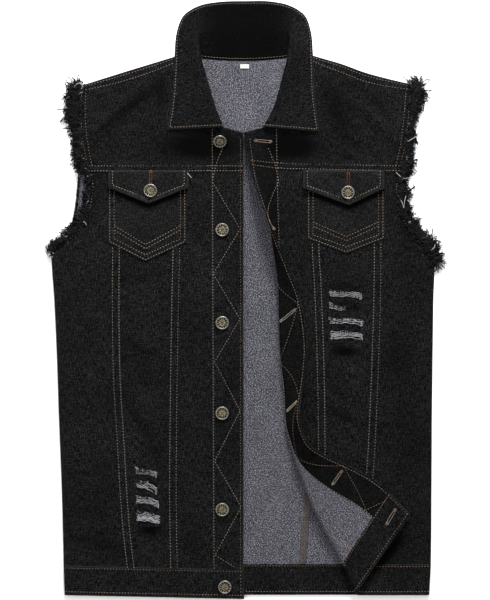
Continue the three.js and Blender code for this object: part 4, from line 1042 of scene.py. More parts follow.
def make_front(side):
    half, half_double, _, _ = settings_mm()
    both = [finish_of("denim"), finish_of("reverse")]
    facing = [finish_of("denim")]
    for part, flat in front_grids(side).items():
        piece = front_piece(side, part, flat, half, both)
        if part == "mid_panel":
            cut_rips(piece, side)
        declare(piece, f"{part}_{side}", "black_denim")
    for part, flat in (("placket", placket_grid(side)), ("front_waistband", waistband_grid(side))):
        piece = front_piece(side, part, flat, half_double, facing, round_radius=1.6, strength=0.7)
        declare(piece, f"{part}_{side}", "black_denim")
    flat = yoke_grid(side)
    piece = front_piece(side, "front_yoke", flat, half, both, base=0.1)
    declare(piece, f"front_yoke_{side}", "black_denim")


def rip_outline(rip, index, steps=14):
    """Ragged outline of one rip in flat places."""
    x0, x1, y, height = rip
    half = height / 2
    t = np.linspace(0, 1, steps + 1)[1:-1]
    wave = lambda k: 0.16 * half * np.sin(2.4 * k + 1.7 * index) + 0.08 * half * np.sin(9.1 * k + index)
    low = np.column_stack([mix(x0, x1, t), y - half + wave(t * 5)])
    high = np.column_stack([mix(x0, x1, t[::-1]), y + half + wave(t[::-1] * 5 + 7)])
    return np.vstack([[(x0, y + wave(1))], low, [(x1, y - wave(2))], high])


def cut_rips(piece, side):
    """Cuts the rips straight through a panel."""
    points, faces = [], []
    for index, rip in enumerate(RIPS[side]):
        outline = rip_outline(rip, index)
        n = len(outline)
        start = len(points)
        for z in (0.5, 20):
            points += [(x * MM, y * MM, z * MM) for x, y in outline]
        faces.append([start + i for i in reversed(range(n))])
        faces.append([start + n + i for i in range(n)])
        for i in range(n):
            after = (i + 1) % n
            faces.append([start + i, start + after, start + n + after, start + n + i])
    mesh = bpy.data.meshes.new("rip_cutter")
    mesh.from_pydata(points, [], faces)
    cutter = add_object("rip_cutter", mesh)
    modifier = piece.modifiers.new("rips", "BOOLEAN")
    modifier.object = cutter
    modifier.operation = "DIFFERENCE"
    modifier.solver = "EXACT"
    bake(piece)
    bpy.data.objects.remove(cutter)


# Back
def back_seam_x(y):
    return mix(BACK_SEAM_WAIST_X, BACK_SEAM_TOP_X, (y - WAIST_SEAM_Y) / (YOKE_SEAM_Y - WAIST_SEAM_Y))


def back_edge(side, y):
    body = value_at(OUTLINE[side], "x", y)
    armhole = value_at(BACK_ARMHOLE[side], "x", y)
    return np.where(y < BACK_ARMHOLE[side]["y"][0], body, armhole)


def back_piece(name, flat, thickness, materials, node):
    """One part of the back, its inside up; its underside lies flat."""
    distance = edge_distance(flat)
    share = rounded_share(distance, 0.9)
    x, y = flat[..., 0], flat[..., 1]
    relief = 0.5 * (unevenness(x, y) + 0.3) + 0.25 * np.maximum(0, soft_forms(BACK_FORMS, x, y))
    middle = thickness / 2
    low = np.stack([x, y, middle * (1 - share)], -1)
    high = np.stack([x, y, middle * (1 + share) + relief * ease(distance / 12)], -1)
    piece = cloth_wall(name, flat, low, high, materials)
    declare(piece, node, "grey_reverse" if len(materials) > 1 else "black_denim")


def make_back():
    cloth = bpy.context.scene.vest_cloth
    single, doubled = cloth.single / MM, cloth.doubled / MM
    _, _, step, _ = settings_mm()
    step *= 1.3
    inside_up = [finish_of("reverse"), finish_of("denim")]
    up = crowded(520, step)
    low = lambda x: WAIST_SEAM_Y - 3 + 0 * x
    high = lambda x: YOKE_SEAM_Y + 0 * x
    center = between_lines(lambda y: -back_seam_x(y), back_seam_x, low, high, crowded(200, step), up)
    back_piece("back_center_cloth", center, single, inside_up, "back_center")
    sides = {
        "right": (lambda y: back_edge("right", y), lambda y: -back_seam_x(y)),
        "left": (back_seam_x, lambda y: back_edge("left", y)),
    }
    for side, lines in sides.items():
        flat = between_lines(*lines, low, high, crowded(140, step), up)
        back_piece(f"back_side_cloth_{side}", flat, single, inside_up, f"back_side_{side}")
    band = between_lines(
        lambda y: value_at(OUTLINE["right"], "x", y), lambda y: value_at(OUTLINE["left"], "x", y),
        lambda x: HEM_Y + 0 * x, lambda x: WAIST_SEAM_Y + 0 * x, crowded(480, step), crowded(40, step))
    back_piece("back_waistband_cloth", band, doubled + 0.3, [finish_of("denim")], "back_waistband")

    def top(x):
        shoulder = np.where(
            x < 0, value_at(SHOULDER["right"], "y", x, "x"), value_at(SHOULDER["left"], "y", x, "x"))
        neck = value_at(BACK_NECKLINE, "y", x, "x") + 4 * np.exp(-((x / 62) ** 6))
        within = (x > BACK_NECKLINE["x"][0]) & (x < BACK_NECKLINE["x"][-1])
        return np.where(within, neck, shoulder)

    yoke = between_lines(
        lambda y: back_edge("right", y), lambda y: back_edge("left", y), high, top, crowded(440, step),
        crowded(130, step))
    back_piece("back_yoke_cloth", yoke, single, inside_up, "back_yoke")


# Collar
def curve_points(knots, shares):
    """Points at shares of a centripetal curve through knots; knots may be a stack of such lists."""
    knots = np.asarray(knots, float)
    padded = np.concatenate([2 * knots[:1] - knots[1:2], knots, 2 * knots[-1:] - knots[-2:-1]])
    position = np.asarray(shares) * (len(knots) - 1)
    i = np.clip(np.floor(position).astype(int), 0, len(knots) - 2)
    w = (position - i).reshape((-1,) + (1,) * (knots.ndim - 1))
    p0, p1, p2, p3 = (padded[i + k] for k in range(4))
    gap = lambda a, b: np.maximum(((a - b) ** 2).sum(-1, keepdims=True), 1e-8) ** 0.25
    d0, d1, d2 = gap(p0, p1), gap(p1, p2), gap(p2, p3)
    t1 = ((p1 - p0) / d0 - (p2 - p0) / (d0 + d1) + (p2 - p1) / d1) * d1
    t2 = ((p2 - p1) / d1 - (p3 - p1) / (d1 + d2) + (p3 - p2) / d2) * d1
    return p1 + t1 * w + (3 * (p2 - p1) - 2 * t1 - t2) * w**2 + (2 * (p1 - p2) + t1 + t2) * w**3


def collar_sections():
    neck, ridge, fold, edge = COLLAR[:, 0:3].copy(), COLLAR[:, 3:6], COLLAR[:, 6:7], COLLAR[:, 7:10]
    level = np.array([1, 1, 0])
    neck += COLLAR_GAP * unit((ridge - neck) * level)
    rise = np.array([0, 0, COLLAR_ROLL])
    before = ridge + COLLAR_ROLL * unit((neck - ridge) * level) - fold * rise
    after = ridge + COLLAR_ROLL * unit((edge - ridge) * level) + fold * rise
    stand = (neck + before) / 2
    leaf = (after + edge) / 2 + fold * np.array([0, 0, 0.6])
    return np.stack([neck, stand, before, ridge, after, leaf, edge])


def collar_middle(across, along):
    """Middle of the collar's wall on a grid: rows along the neck, columns from the neck to the free edge."""
    by_section = curve_points(collar_sections(), across)
    return curve_points(by_section.transpose(1, 0, 2), along)


def grid_normals(points):
    across = np.gradient(points, axis=1)
    along = np.gradient(points, axis=0)
    return unit(np.cross(along, across))


def collar_relief(from_edge, from_end, along_mm):
    """Relief of the collar's outside: pulled down along its topstitching, softly wavy."""
    edge = np.minimum(from_edge, from_end)
    pull = -0.35 * np.exp(-(((edge - 3) / 0.9) ** 2))
    return pull + puckers(edge - 3, along_mm, 7) + 0.15 * np.sin(along_mm / 13) * np.sin(from_edge / 17)


COLLAR_WIDTH = 78
COLLAR_LENGTH = 620
COLLAR_ACROSS = crowded(COLLAR_WIDTH, 2.2)
COLLAR_ALONG = crowded(COLLAR_LENGTH, 3.0)


def make_collar():
    face, back, _, from_neck, from_edge, from_end, run = collar_shape()
    flat = np.stack([run, from_neck], -1)
    inside = np.minimum(from_edge, from_end)
    from_tip = np.minimum(run, run.max() - run)
    # Painted shade, deep along the collar's back and fading out towards its tips
    painted_shade = mix(0.15, 0.9, ease((from_tip - 110) / 60)) * ease((inside - 1) / 5)
    wear_and_painted_shade = wear_from(inside, strength=0.6) - painted_shade
    piece = cloth_wall("collar_cloth", flat, back, face, [finish_of("denim")], wear_and_painted_shade)
    piece.data.flip_normals()
    declare(piece, "collar", "black_denim")


# Pockets and flaps
def pointed_foot(name, x):
    left, right, _, side_foot, tip_x, tip_y = POINTED[name]
    to_tip = np.where(x < tip_x, (x - left) / (tip_x - left), (right - x) / (right - tip_x))
    return mix(side_foot, tip_y, np.clip(to_tip, 0, 1))


def pointed_distance(name, x, y):
    """Distance of places inside a pointed shape from its sides and foot."""
    left, right, _, side_foot, tip_x, tip_y = POINTED[name]
    above = 200
    corners = [(left, above), (left, side_foot), (tip_x, tip_y), (right, side_foot), (right, above)]
    return distance_to(np.array(corners, float), x, y)


def pointed_lift(name, x, y):
    """Height of a pocket's or flap's face over the middle of the front's wall."""
    edge = pointed_distance(name, x, y)
    if name.startswith("flap"):
        roll = 1.3 * np.exp(-(((edge - 2.4) / 2.2) ** 2))
        top = POINTED[name][2] - y
        return (4.0 + roll - 0.55 * np.exp(-(((edge - 5.6) / 1.0) ** 2)) + puckers(edge - 5.6, x + y, 5)
                + 0.5 * ease((edge - 6) / 14) - 1.6 * np.exp(-top / 5)
                + 2.4 * np.exp(-edge / 7) * ease((top - 6) / 16) + 0.12 * np.sin(x / 3.1 + y / 7))
    pull = 0.3 * (np.exp(-(((edge - 1.9) / 0.8) ** 2)) + np.exp(-(((edge - 7.6) / 0.8) ** 2)))
    return (2.5 - pull + puckers(edge - 5, x + y, 6) + 0.5 * ease((edge - 8) / 14)
            + 0.35 * np.exp(-(((edge - 4.6) / 1.6) ** 2)) + 0.5 * unevenness(x * 1.4, y * 1.4))


def make_pointed(name, thickness, round_radius, strength):
    side = name.split("_")[1]
    left, right, top, side_foot, _, _ = POINTED[name]
    step = settings_mm()[2] * 0.75
    flat = between_lines(
        lambda y: left + 0 * y, lambda y: right + 0 * y, lambda x: pointed_foot(name, x),
        lambda x: top + 0 * x, crowded(right - left, step), crowded(top - side_foot, step))
    distance = edge_distance(flat)
    share = rounded_share(distance, round_radius)
    lift = pointed_lift(name, flat[..., 0], flat[..., 1])
    middle = lift - thickness / 2
    high, _ = place(side, flat[..., 0], flat[..., 1], middle + thickness / 2 * share)
    low, _ = place(side, flat[..., 0], flat[..., 1], middle - thickness / 2 * share)
    wear_and_painted_shade = 0.08 + wear_from(np.maximum(0, distance - 0.8), reach=1.5, strength=strength)
    if name.startswith("pocket"):
        # Painted shadow of the flap, darkest on the pocket just under the flap's foot
        below = np.maximum(0, pointed_foot(f"flap_{side}", flat[..., 0]) - flat[..., 1])
        wear_and_painted_shade = wear_and_painted_shade - 1.5 * np.exp(-((below / 8) ** 2))
    piece = cloth_wall(name.replace("_", "_cloth_"), flat, low, high, [finish_of("denim")], wear_and_painted_shade)
    declare(piece, name, "black_denim")


def make_pockets():
    for side in ("right", "left"):
        make_pointed(f"pocket_{side}", 1.1, 0.8, 0.5)
        make_pointed(f"flap_{side}", 1.9, 1.9, 0.65)


# Sewing
def in_from_edge(side, y, inset):
    """Flat place at a distance in from a front's free edge."""
    return free_edge(side, y) - inset if side == "right" else free_edge(side, y) + inset


DOUBLED = ("placket", "front_waistband")


def front_surface(side, part, x, y, reverse=False, over=0.0):
    """Points and normals on a front's face, or on its reverse."""
    half_single, half_double, _, _ = settings_mm()
    half = half_double if part in DOUBLED else half_single
    lift = body_lift(side, part, x, y)
    if reverse:
        points, normals = place(side, x, y, lift * 0.35 - half - over)
        return points, -normals
    return place(side, x, y, lift + half + over)


def front_row(side, part, corners, shade, reverse=False, step=2.0):
    """A row of stitches over flat places of a front."""
    x, y = resampled(corners, step).T
    points, normals = front_surface(side, part, x, y, reverse)
    return points, normals, shade


def down(low, high, step=8.0):
    return np.linspace(high, low, max(2, int(abs(high - low) / step)))


# Levels of the placket's zigzag and how far from the free edge it turns there
ZIGZAG = [(199, 28), (179, 36), (156, 41), (93.5, 4.5), (34.5, 40), (-25, 4.5), (-81.5, 38), (-146, 4.5),
          (-212, 38), (-272.5, 3), (-336, 37.5), (-351, 13)]


def front_seam_rows(side):
    """Rows on one front's yoke, panels, placket and waistband."""
    out = -1 if side == "right" else 1
    rows = []
    armhole = OUTLINE[side]
    pocket_foot = POINTED[f"pocket_{side}"][3] - 8

    def column(line, offset, low, high):
        y = down(low, high)
        return np.column_stack([line(y) + offset, y])

    inner = lambda y: value_at(INNER_SEAM[side], "x", y)
    outer = lambda y: value_at(OUTER_SEAM[side], "x", y)
    edge = lambda y: value_at(armhole, "x", y)
    waist = waist_seam(side, out * 120.0) + 1
    for offset in (-ROW_HALF, ROW_HALF):
        rows.append(front_row(side, "inner_panel", column(inner, offset, waist, pocket_foot), 0.95))
        rows.append(front_row(side, "side_panel", column(outer, offset, waist, pocket_foot), 0.95))
        x = down(out * 7.0 if side == "right" else left_cut_edge(170) + 3, edge(YOKE_SEAM_Y) - out * 2)
        level = yoke_seam(side, x) + offset * YOKE_ROW_HALF / ROW_HALF
        rows.append(front_row(side, "front_yoke", np.column_stack([x, level]), 0.6 if offset > 0 else 0.75))
    # Armhole: two rows down to the yoke seam, one below it
    low_end = armhole["y"][armhole["y"] > 50][0] + 8
    for inset in (4.6, 10.4):
        rows.append(front_row(side, "front_yoke", column(edge, -out * inset, 178, 272), 0.35))
    rows.append(front_row(side, "side_panel", column(edge, -out * 4.2, low_end + 4, 165), 0.6))
    # Shoulder
    shoulder = SHOULDER[side]
    x = np.linspace(shoulder["x"][0] + 6, shoulder["x"][-1] - 6, 30)
    bow = np.sin(np.pi * (x - x[0]) / (x[-1] - x[0]))
    for gap, dip in ((2.6, 1.5), (7.5, 4.5)):
        level = value_at(shoulder, "y", x, "x") - gap - dip * bow
        rows.append(front_row(side, "front_yoke", np.column_stack([x, level]), 0.55))
    return rows


def edge_rows(side, reverse=False):
    """Rows along the placket and the waistband, on the face or through to the reverse."""
    rows = []
    sewn = lambda y: placket_line(side, y)
    into = 1 if side == "right" else -1

    def add(part, x, y, shade):
        rows.append(front_row(side, part, np.column_stack([x, y]), shade, reverse, 1.6))

    y = down(waist_seam(side, 0.0) + 2, 232)
    add("placket", sewn(y) + into * 1.7, y, 0.7)
    y = down(waist_seam(side, 0.0) + 2, 211)
    add("placket", in_from_edge(side, y, 4), y, 0.55)
    for offset in (-YOKE_ROW_HALF, YOKE_ROW_HALF):
        level = yoke_seam(side, 0.0) + offset
        x = np.array([sewn(level) - into * 4, in_from_edge(side, level, 2.5)])
        add("placket", x, level + 0 * x, 0.5)
    level, inset = np.array(ZIGZAG, float).T
    add("placket", in_from_edge(side, level, inset), level, 0.15 if reverse else 0.65)
    edge = value_at(OUTLINE[side], "x", BAND_MIDDLE_Y)
    x = np.linspace(edge + 3 * into, in_from_edge(side, BAND_MIDDLE_Y, 3), 120)
    add("front_waistband", x, waist_seam(side, x) - 2.6, 0.3)
    add("front_waistband", x, hem_line(side, x) + 4.8, 0.45)
    foot = np.full(2, in_from_edge(side, BAND_MIDDLE_Y, 3.5))
    add("front_waistband", foot, np.array([waist_seam(side, foot)[0] - 3, hem_line(side, foot)[1] + 5]), 0.4)
    return rows


def pointed_rows(name):
    """Rows round a pocket or flap, with a plain double chevron on a pocket."""
    side = name.split("_")[1]
    left, right, top, side_foot, tip_x, tip_y = POINTED[name]
    rows = []

    def inset_shape(inset, start):
        drop = inset * 1.12
        return [(left + inset, start), (left + inset, side_foot + drop * 0.55), (tip_x, tip_y + drop),
                (right - inset, side_foot + drop * 0.55), (right - inset, start)]

    flap = name.startswith("flap")
    shapes = [inset_shape(i, top - 2) for i in ((5.6,) if flap else (1.9, 7.6))]
    if not flap:
        for up in (21, 15.5):
            shapes.append([(left + 9, side_foot + up), (tip_x, tip_y + up + 1), (right - 9, side_foot + up)])
    for corners in shapes:
        x, y = resampled(corners, 1.8).T
        points, normals = place(side, x, y, pointed_lift(name, x, y) + (0.45 if flap else 0.05))
        rows.append((points, normals, 0.75 if flap else 0.6))
    return rows


def collar_shape():
    """Face, normals and distances of the collar's grid."""
    _, half_double, _, _ = settings_mm()
    middle = collar_middle(COLLAR_ACROSS, COLLAR_ALONG)
    normal = grid_normals(middle)
    steps_across = np.linalg.norm(np.diff(middle, axis=1), axis=-1)
    from_neck = np.concatenate([np.zeros((len(middle), 1)), steps_across.cumsum(1)], 1)
    from_edge = from_neck[:, -1:] - from_neck
    steps_along = np.linalg.norm(np.diff(middle, axis=0), axis=-1)
    run = np.concatenate([np.zeros((1, middle.shape[1])), steps_along.cumsum(0)], 0)
    from_end = np.minimum(run, run[-1:] - run)
    run = run.mean(1, keepdims=True) + 0 * run
    distance = np.minimum(from_edge, from_end)
    share = rounded_share(np.minimum(distance, from_neck), 1.7)
    face = middle + normal * (half_double * share + collar_relief(from_edge, from_end, run))[..., None]
    back = middle - normal * (half_double * share)[..., None]
    return face, back, normal, from_neck, from_edge, from_end, run


def collar_rows():
    """Rows round the collar's free edges and over the neck seam."""
    face, _, normal, from_neck, from_edge, from_end, _ = collar_shape()
    inset = 3.2
    corners, ups = [], []
    leaf = [i for i in range(face.shape[1]) if COLLAR_ACROSS[i] > 0.56 and from_edge[0, i] > inset]

    def pick(values, distances, wanted):
        order = np.argsort(distances)
        return np.array([np.interp(wanted, distances[order], values[order, k]) for k in range(3)])

    half = len(face) // 2
    first = [(pick(face[:half, i], from_end[:half, i], inset), normal[2, i]) for i in leaf]
    along = [(pick(face[j], from_edge[j], inset), normal[j, -4])
             for j in range(len(face)) if from_end[j, -1] > inset]
    last = [(pick(face[half:, i], from_end[half:, i], inset), normal[-3, i]) for i in leaf[::-1]]
    path = first + along + last
    neck = [(pick(face[j], from_neck[j], 3.0), normal[j, 3]) for j in range(len(face)) if from_end[j, 3] > 8]
    return [(np.array([p for p, _ in row]), np.array([n for _, n in row]), shade)
            for row, shade in ((path, 0.7), (neck, 0.5))]


def back_rows():
    """Rows on the inside of the back's waistband."""
    rows = []
    x = np.linspace(-232, 236, 160)
    up = np.array([0.0, 0.0, 1.0])
    top = bpy.context.scene.vest_cloth.doubled / MM + 0.35
    for level, shade in ((WAIST_SEAM_Y - 2.2, 0.05), (HEM_Y + 4.6, 0.6)):
        points = np.column_stack([x, level + 0 * x, top + 0 * x])
        rows.append((points, np.tile(up, (len(x), 1)), shade))
    return rows


def make_sewing():
    for side in ("right", "left"):
        sew(f"front_stitches_{side}", front_seam_rows(side) + edge_rows(side))
        sew(f"pocket_stitches_{side}", pointed_rows(f"pocket_{side}") + pointed_rows(f"flap_{side}"))
    sew("facing_stitches_left", edge_rows("left", True))
    sew("collar_stitches", collar_rows())
    sew("back_stitches", back_rows(), "grey_reverse")


# Buttonholes and overlocked seams: thread spacing, and how near and far from the slit or eye it turns
SATIN_STEP = 0.42
SATIN_REACH = (1.0, 1.9)
EYE_REACH = (0.8, 2.5)
BUTTONHOLE_LENGTH = 20
BUTTONHOLE_INSET = 11


def alternate(count, near, far):
    """Two reaches by turns, for thread that goes to and fro."""
    return np.where(np.arange(count) % 2 == 0, near, far)


def satin(surface, start, end, eye=True):
    """Zigzags of thread on both sides of a slit, and round the eye at its start."""
    start, end = np.array(start, float), np.array(end, float)
    run = end - start
    size = np.linalg.norm(run)
    ahead = run / size
    aside = np.array([-ahead[1], ahead[0]])
    count = int(size / SATIN_STEP)
    paths = []
    for sign in (-1, 1):
        t = np.linspace(0.12 if eye else 0, 1, count)
        wide = alternate(count, *SATIN_REACH) * sign
        flat = start + np.outer(t * size, ahead) + np.outer(wide, aside)
        paths.append(surface(flat[:, 0], flat[:, 1]))
    for at, count in ((start, 26 if eye else 0), (end, 8)):
        if count:
            turn = np.linspace(0, 2 * math.pi, count)
            radius = alternate(count, *EYE_REACH) if eye else np.full(count, 1.5)
            flat = at + radius[:, None] * np.column_stack([np.cos(turn), np.sin(turn)])
            paths.append(surface(flat[:, 0], flat[:, 1]))
    return paths


def overlock(surface, line, low, high, width, pitch=2.0):
    """Thread that wraps a raw seam edge, in zigzags across a narrow band."""
    y = np.arange(low, high, pitch / 2)
    x = line(y) + alternate(len(y), 0.3, width)
    return [surface(x, y)]


def make_buttonholes():
    paths, shades = [], []
    for side, (x, y) in FLAP_BUTTONS.items():
        def flap_face(px, py):
            return place(side, px, py, pointed_lift(f"flap_{side}", px, py) + 0.15)[0]

        sewn = satin(flap_face, (x, y + 7), (x + 0.6, y + 25.5), False)
        paths += sewn
        shades += [0.0] * len(sewn)
    for _, y, _ in PLACKET_BUTTONS:
        part = "placket"
        if y < WAIST_SEAM_Y:
            part = "front_waistband"
            y = (WAIST_SEAM_Y + HEM_Y) / 2
        start = in_from_edge("left", y, BUTTONHOLE_INSET)
        for reverse in (False, True):
            def strip_face(px, py):
                return front_surface("left", part, px, py, reverse, 0.15)[0]

            sewn = satin(strip_face, (start, y), (start + BUTTONHOLE_LENGTH, y - 1))
            paths += sewn
            shades += [0.7 if reverse else 0.6] * len(sewn)
    threads("buttonhole_threads", paths, [0.24 * MM] * len(paths), shades, "buttonhole", "black_denim", 4)
    strips = []
    top = bpy.context.scene.vest_cloth.single / MM
    back_face = lambda px, py: np.column_stack([px, py, top + 0.5 + 0 * px])
    inner_reverse = lambda px, py: front_surface("left", "inner_panel", px, py, True, 0.2)[0]
    for sign in (-1, 1):
        for k in range(3):
            line = lambda y: sign * (back_seam_x(y) - 1 - 3.0 * k)
            strips += overlock(back_face, line, WAIST_SEAM_Y + 1, YOKE_SEAM_Y - 1, -3.4 * sign)
    for k in range(3):
        line = lambda y: value_at(INNER_SEAM["left"], "x", y) + 9 - 3.0 * k
        strips += overlock(inner_reverse, line, WAIST_SEAM_Y + 1, YOKE_SEAM_Y - 8, -3.4)
    threads("overlock_threads", strips, [0.38 * MM] * len(strips), [0.62] * len(strips), "topstitch",
            "grey_reverse", 3)


# Fraying: how far the raw armholes' tufts reach, by level
FRINGE_REACH = {
    "right": table(
        "y reach", (66, 15), (80, 14), (100, 12), (130, 10), (160, 9), (171, 9), (186, 15), (203, 12),
        (218, 15), (238, 18), (260, 22), (278, 24), (284, 14)),
    "left": table(
        "y reach", (52, 15), (66, 20), (88, 17), (111, 16), (132, 11), (149, 19), (159, 11), (177, 18),
        (190, 12), (215, 16), (235, 7), (244, 13), (260, 20), (279, 21), (286, 12)),
}


def strand_paths(rng, line, out, levels, reach_at, lift, count, steps=5):
    """Curled threads in clumps along an armhole."""
    low, high = levels
    clumps = int((high - low) / 5.6)
    clump_level = np.linspace(low, high, clumps) + rng.normal(0, 1.6, clumps)
    clump_size = rng.uniform(0.6, 1.35, clumps)
    clump_turn = rng.normal(0, 0.45, clumps)
    clump_curl = rng.normal(0, 0.12, clumps)
    which = rng.integers(0, clumps, count)
    level = np.clip(clump_level[which] + rng.normal(0, 1.9, count), low, high)
    x = value_at(line, "x", level)
    slope = (value_at(line, "x", level + 1) - value_at(line, "x", level - 1)) / 2
    heading = np.arctan2(-slope * out, float(out))
    size = reach_at(level) * clump_size[which] * rng.uniform(0.3, 1.1, count)
    angle = heading + clump_turn[which] * rng.uniform(0.6, 1.2, count) + rng.normal(0, 0.3, count)
    curl = clump_curl[which] + rng.normal(0, 0.2, count)
    wobble = rng.normal(0, 0.5, (count, steps))
    turns = angle[:, None] + np.cumsum(curl[:, None] + wobble, 1)
    stride = (size / steps)[:, None]
    start = np.zeros((count, 1))
    root_x = x - out * rng.uniform(0.3, 3.4, count)
    px = root_x[:, None] + np.hstack([start, np.cumsum(np.cos(turns) * stride, 1)])
    py = level[:, None] + np.hstack([start, np.cumsum(np.sin(turns) * stride, 1)])
    share = np.linspace(0, 1, steps + 1)
    arch = rng.uniform(0.5, 6.5, count)[:, None] * np.sin(np.pi * share)
    pz = np.maximum(lift * (1 - share) + 0.8 + arch + rng.uniform(-0.6, 0.9, count)[:, None], 0.6)
    return [np.column_stack(p) for p in zip(px, py, pz)]


def make_fringe():
    fray = bpy.context.scene.vest_fray
    radius = fray.strand
    for seed, side in enumerate(("right", "left")):
        out = -1 if side == "right" else 1
        rng = np.random.default_rng(41 + seed)
        reach = lambda y: value_at(FRINGE_REACH[side], "reach", y)
        low = FRINGE_REACH[side]["y"][0] - 1
        high = FRINGE_REACH[side]["y"][-1] - 1
        count = fray.strands
        paths = strand_paths(rng, OUTLINE[side], out, (low, high), reach, 3.6, count)
        pale = rng.random(count) < 0.012
        shades = np.where(pale, rng.uniform(0.3, 0.8, count), rng.uniform(0, 0.02, count))
        radii = radius * rng.uniform(0.6, 1.15, count)
        threads(f"fringe_threads_front_{side}", paths, radii, shades, "fray", "frayed_thread", 3,
                (f"fringe_front_{side}",))
        count = fray.strands // 4
        bare = lambda y: ease((y - 80) / 8) * ease((172 - y) / 8) if side == "right" else 0 * y
        reach_back = lambda y: 0.75 * reach(y) * (1 - 0.9 * bare(y))
        paths = strand_paths(rng, BACK_ARMHOLE[side], out, (low + 4, high), reach_back, 0.4, count)
        threads(f"fringe_threads_back_{side}", paths, radius * rng.uniform(0.6, 1.1, count),
                rng.uniform(0, 0.02, count), "fray", "frayed_thread", 3, (f"fringe_back_{side}",))


# Undyed threads left in each rip: how many, from and to which share of its width, and their slope
RIP_THREADS = {
    "right": [(5, 0, 1, -0.24), (6, 0, 1, -0.36), (6, 0, 1, -0.26), (8, 0, 1, -0.24)],
    "left": [(6, 0, 1, -0.12), (4, 0, 0.5, -0.22), (6, 0, 1, -0.08), (9, 0, 1, -0.04)],
}


def make_rip_threads():
    """Undyed weft threads that bridge the rips, black warp threads behind them that also stand in for the
    shade in each hole, and frayed ends.
    """
    rng = np.random.default_rng(7)
    for side in ("right", "left"):
        paths, radii, shades = [], [], []

        def lay(x, y, out, radius, shade):
            paths.append(place(side, x, y, out)[0])
            radii.append(radius * MM)
            shades.append(shade)

        for (x0, x1, y, height), (count, first, last, slope) in zip(RIPS[side], RIP_THREADS[side]):
            phase = rng.uniform(0, 6)
            middle = (x0 + x1) / 2
            for level in np.linspace(0.42, -0.24, count) * height:
                t = np.linspace(first - rng.uniform(0, 0.08), last + rng.uniform(-0.02, 0.08), 15)
                if rng.random() < 0.2:
                    t = t[:rng.integers(7, 12)]
                x = mix(x0, x1, t)
                bow = 1.1 * np.sin(2 * np.pi * t + phase) + 0.55 * np.sin(t * 19 + rng.uniform(0, 6))
                sink = 0.5 - 0.9 * np.sin(np.pi * np.clip(t, 0, 1)) + rng.uniform(-0.35, 0.35)
                lay(x, y + level + slope * (x - middle) + bow + rng.normal(0, 0.35), sink,
                    rng.uniform(0.34, 0.54), rng.uniform(0.5, 1.0))
            ends = [end for end, here in ((x0, first == 0), (x1, last == 1)) if here]
            for end in ends:
                for _ in range(2 if end == x1 else 1):
                    t = np.linspace(-0.5, 0.3, 7) * rng.uniform(0.5, 0.95)
                    lay(end + rng.normal(0, 0.8) + rng.normal(0, 0.4, 7),
                        y + slope * (end - middle) + t * height, rng.uniform(0.6, 1.2) + 0 * t,
                        rng.uniform(0.25, 0.45), rng.uniform(0.4, 1.0))
            # Black warp threads a millimetre apart under each rip: torn warp, packed into a dark backing that
            # is painted shade of the hole
            for x in np.arange(x0 - 0.5, x1 + 0.5, 1.0):
                t = np.linspace(-0.62, 0.62, 5)
                lay(x + rng.normal(0, 0.3, 5), y + t * height,
                    -1.2 + rng.uniform(-0.3, 0.2) + 0 * t, 0.62, 0.0)
            for _ in range(40):
                edge = rng.choice([-1, 1])
                t = np.linspace(-1.6, rng.uniform(0.8, 3.9), 5)
                x = mix(x0, x1, rng.random()) + np.cumsum(rng.normal(0, 0.35, 5))
                lay(x, y + edge * (height / 2 - t), rng.uniform(0.4, 1.6) + 0 * t, 0.5, rng.uniform(0, 0.03))
        threads(f"rip_threads_{side}", paths, radii, shades, "fray", "frayed_thread", 4)


# Loose pale threads, places along each
LOOSE = [
    [(-225.5, 279, 7), (-222, 284, 9), (-217, 285, 10), (-214, 281, 9), (-217, 276, 8), (-221, 275, 7)],
    [(-222, 196, 6), (-220, 192, 7), (-218, 197, 7)],
    [(-77, 169, 8), (-74, 165, 9.5), (-70.5, 161, 8.5)],
    [(229, 266, 6), (226, 263, 8), (228, 259, 7)],
    [(213.5, 208, 8), (220, 212, 9), (228, 216, 8), (231, 213, 6)],
    [(225, 202, 7), (229, 197, 8), (231, 193, 6)],
    [(199, 168, 8), (203, 164, 9), (207, 159, 8), (206, 155, 7)],
    [(203, 135, 8), (207, 128, 10), (209, 121, 8), (210, 130, 9), (212, 137, 7)],
    [(214, 132, 8), (217, 128, 8), (220, 124, 6)],
    [(-266, 70, 3), (-262, 62, 4), (-257, 55, 4), (-253, 58, 5)],
    [(-259, 76, 4), (-256, 66, 5), (-252, 61, 6)],
]


def make_loose_threads():
    paths = [curve_points(corners, np.linspace(0, 1, 14)) for corners in LOOSE]
    threads("loose_threads", paths, [0.42 * MM] * len(paths), [1.0] * len(paths), "fray", "frayed_thread", 4)


# Buttons
def metal(name, tone, roughness):
    """Cast metal with faint dull patches."""
    material, tree, shader = new_material(name, tone)
    patches = noise_in_place(tree, METAL_PATCHES, 3.0)
    dull = tuple(c * 0.35 for c in tone[:3]) + (1.0,)
    base = blend_colours(tree, remap(tree, patches, 0.42, 0.66), tone, dull)
    fill_inputs(tree, shader, {
        "Base Color": base, "Metallic": 1.0,
        "Roughness": remap(tree, patches, 0.3, 0.7, roughness, roughness + 0.25)})
    return material


def lathe(profile, segments=LATHE_SIDES):
    """Points and quads of a profile of radius and height turned about Z."""
    turn = np.linspace(0, 2 * math.pi, segments, endpoint=False)
    rings = np.array([[(r * math.cos(a), r * math.sin(a), z) for a in turn] for r, z in profile])
    i = np.arange(segments)
    quads = np.vstack([
        np.column_stack([k * segments + i, k * segments + (i + 1) % segments,
                         (k + 1) * segments + (i + 1) % segments, (k + 1) * segments + i])
        for k in range(len(profile) - 1)])
    return rings.reshape(-1, 3), quads


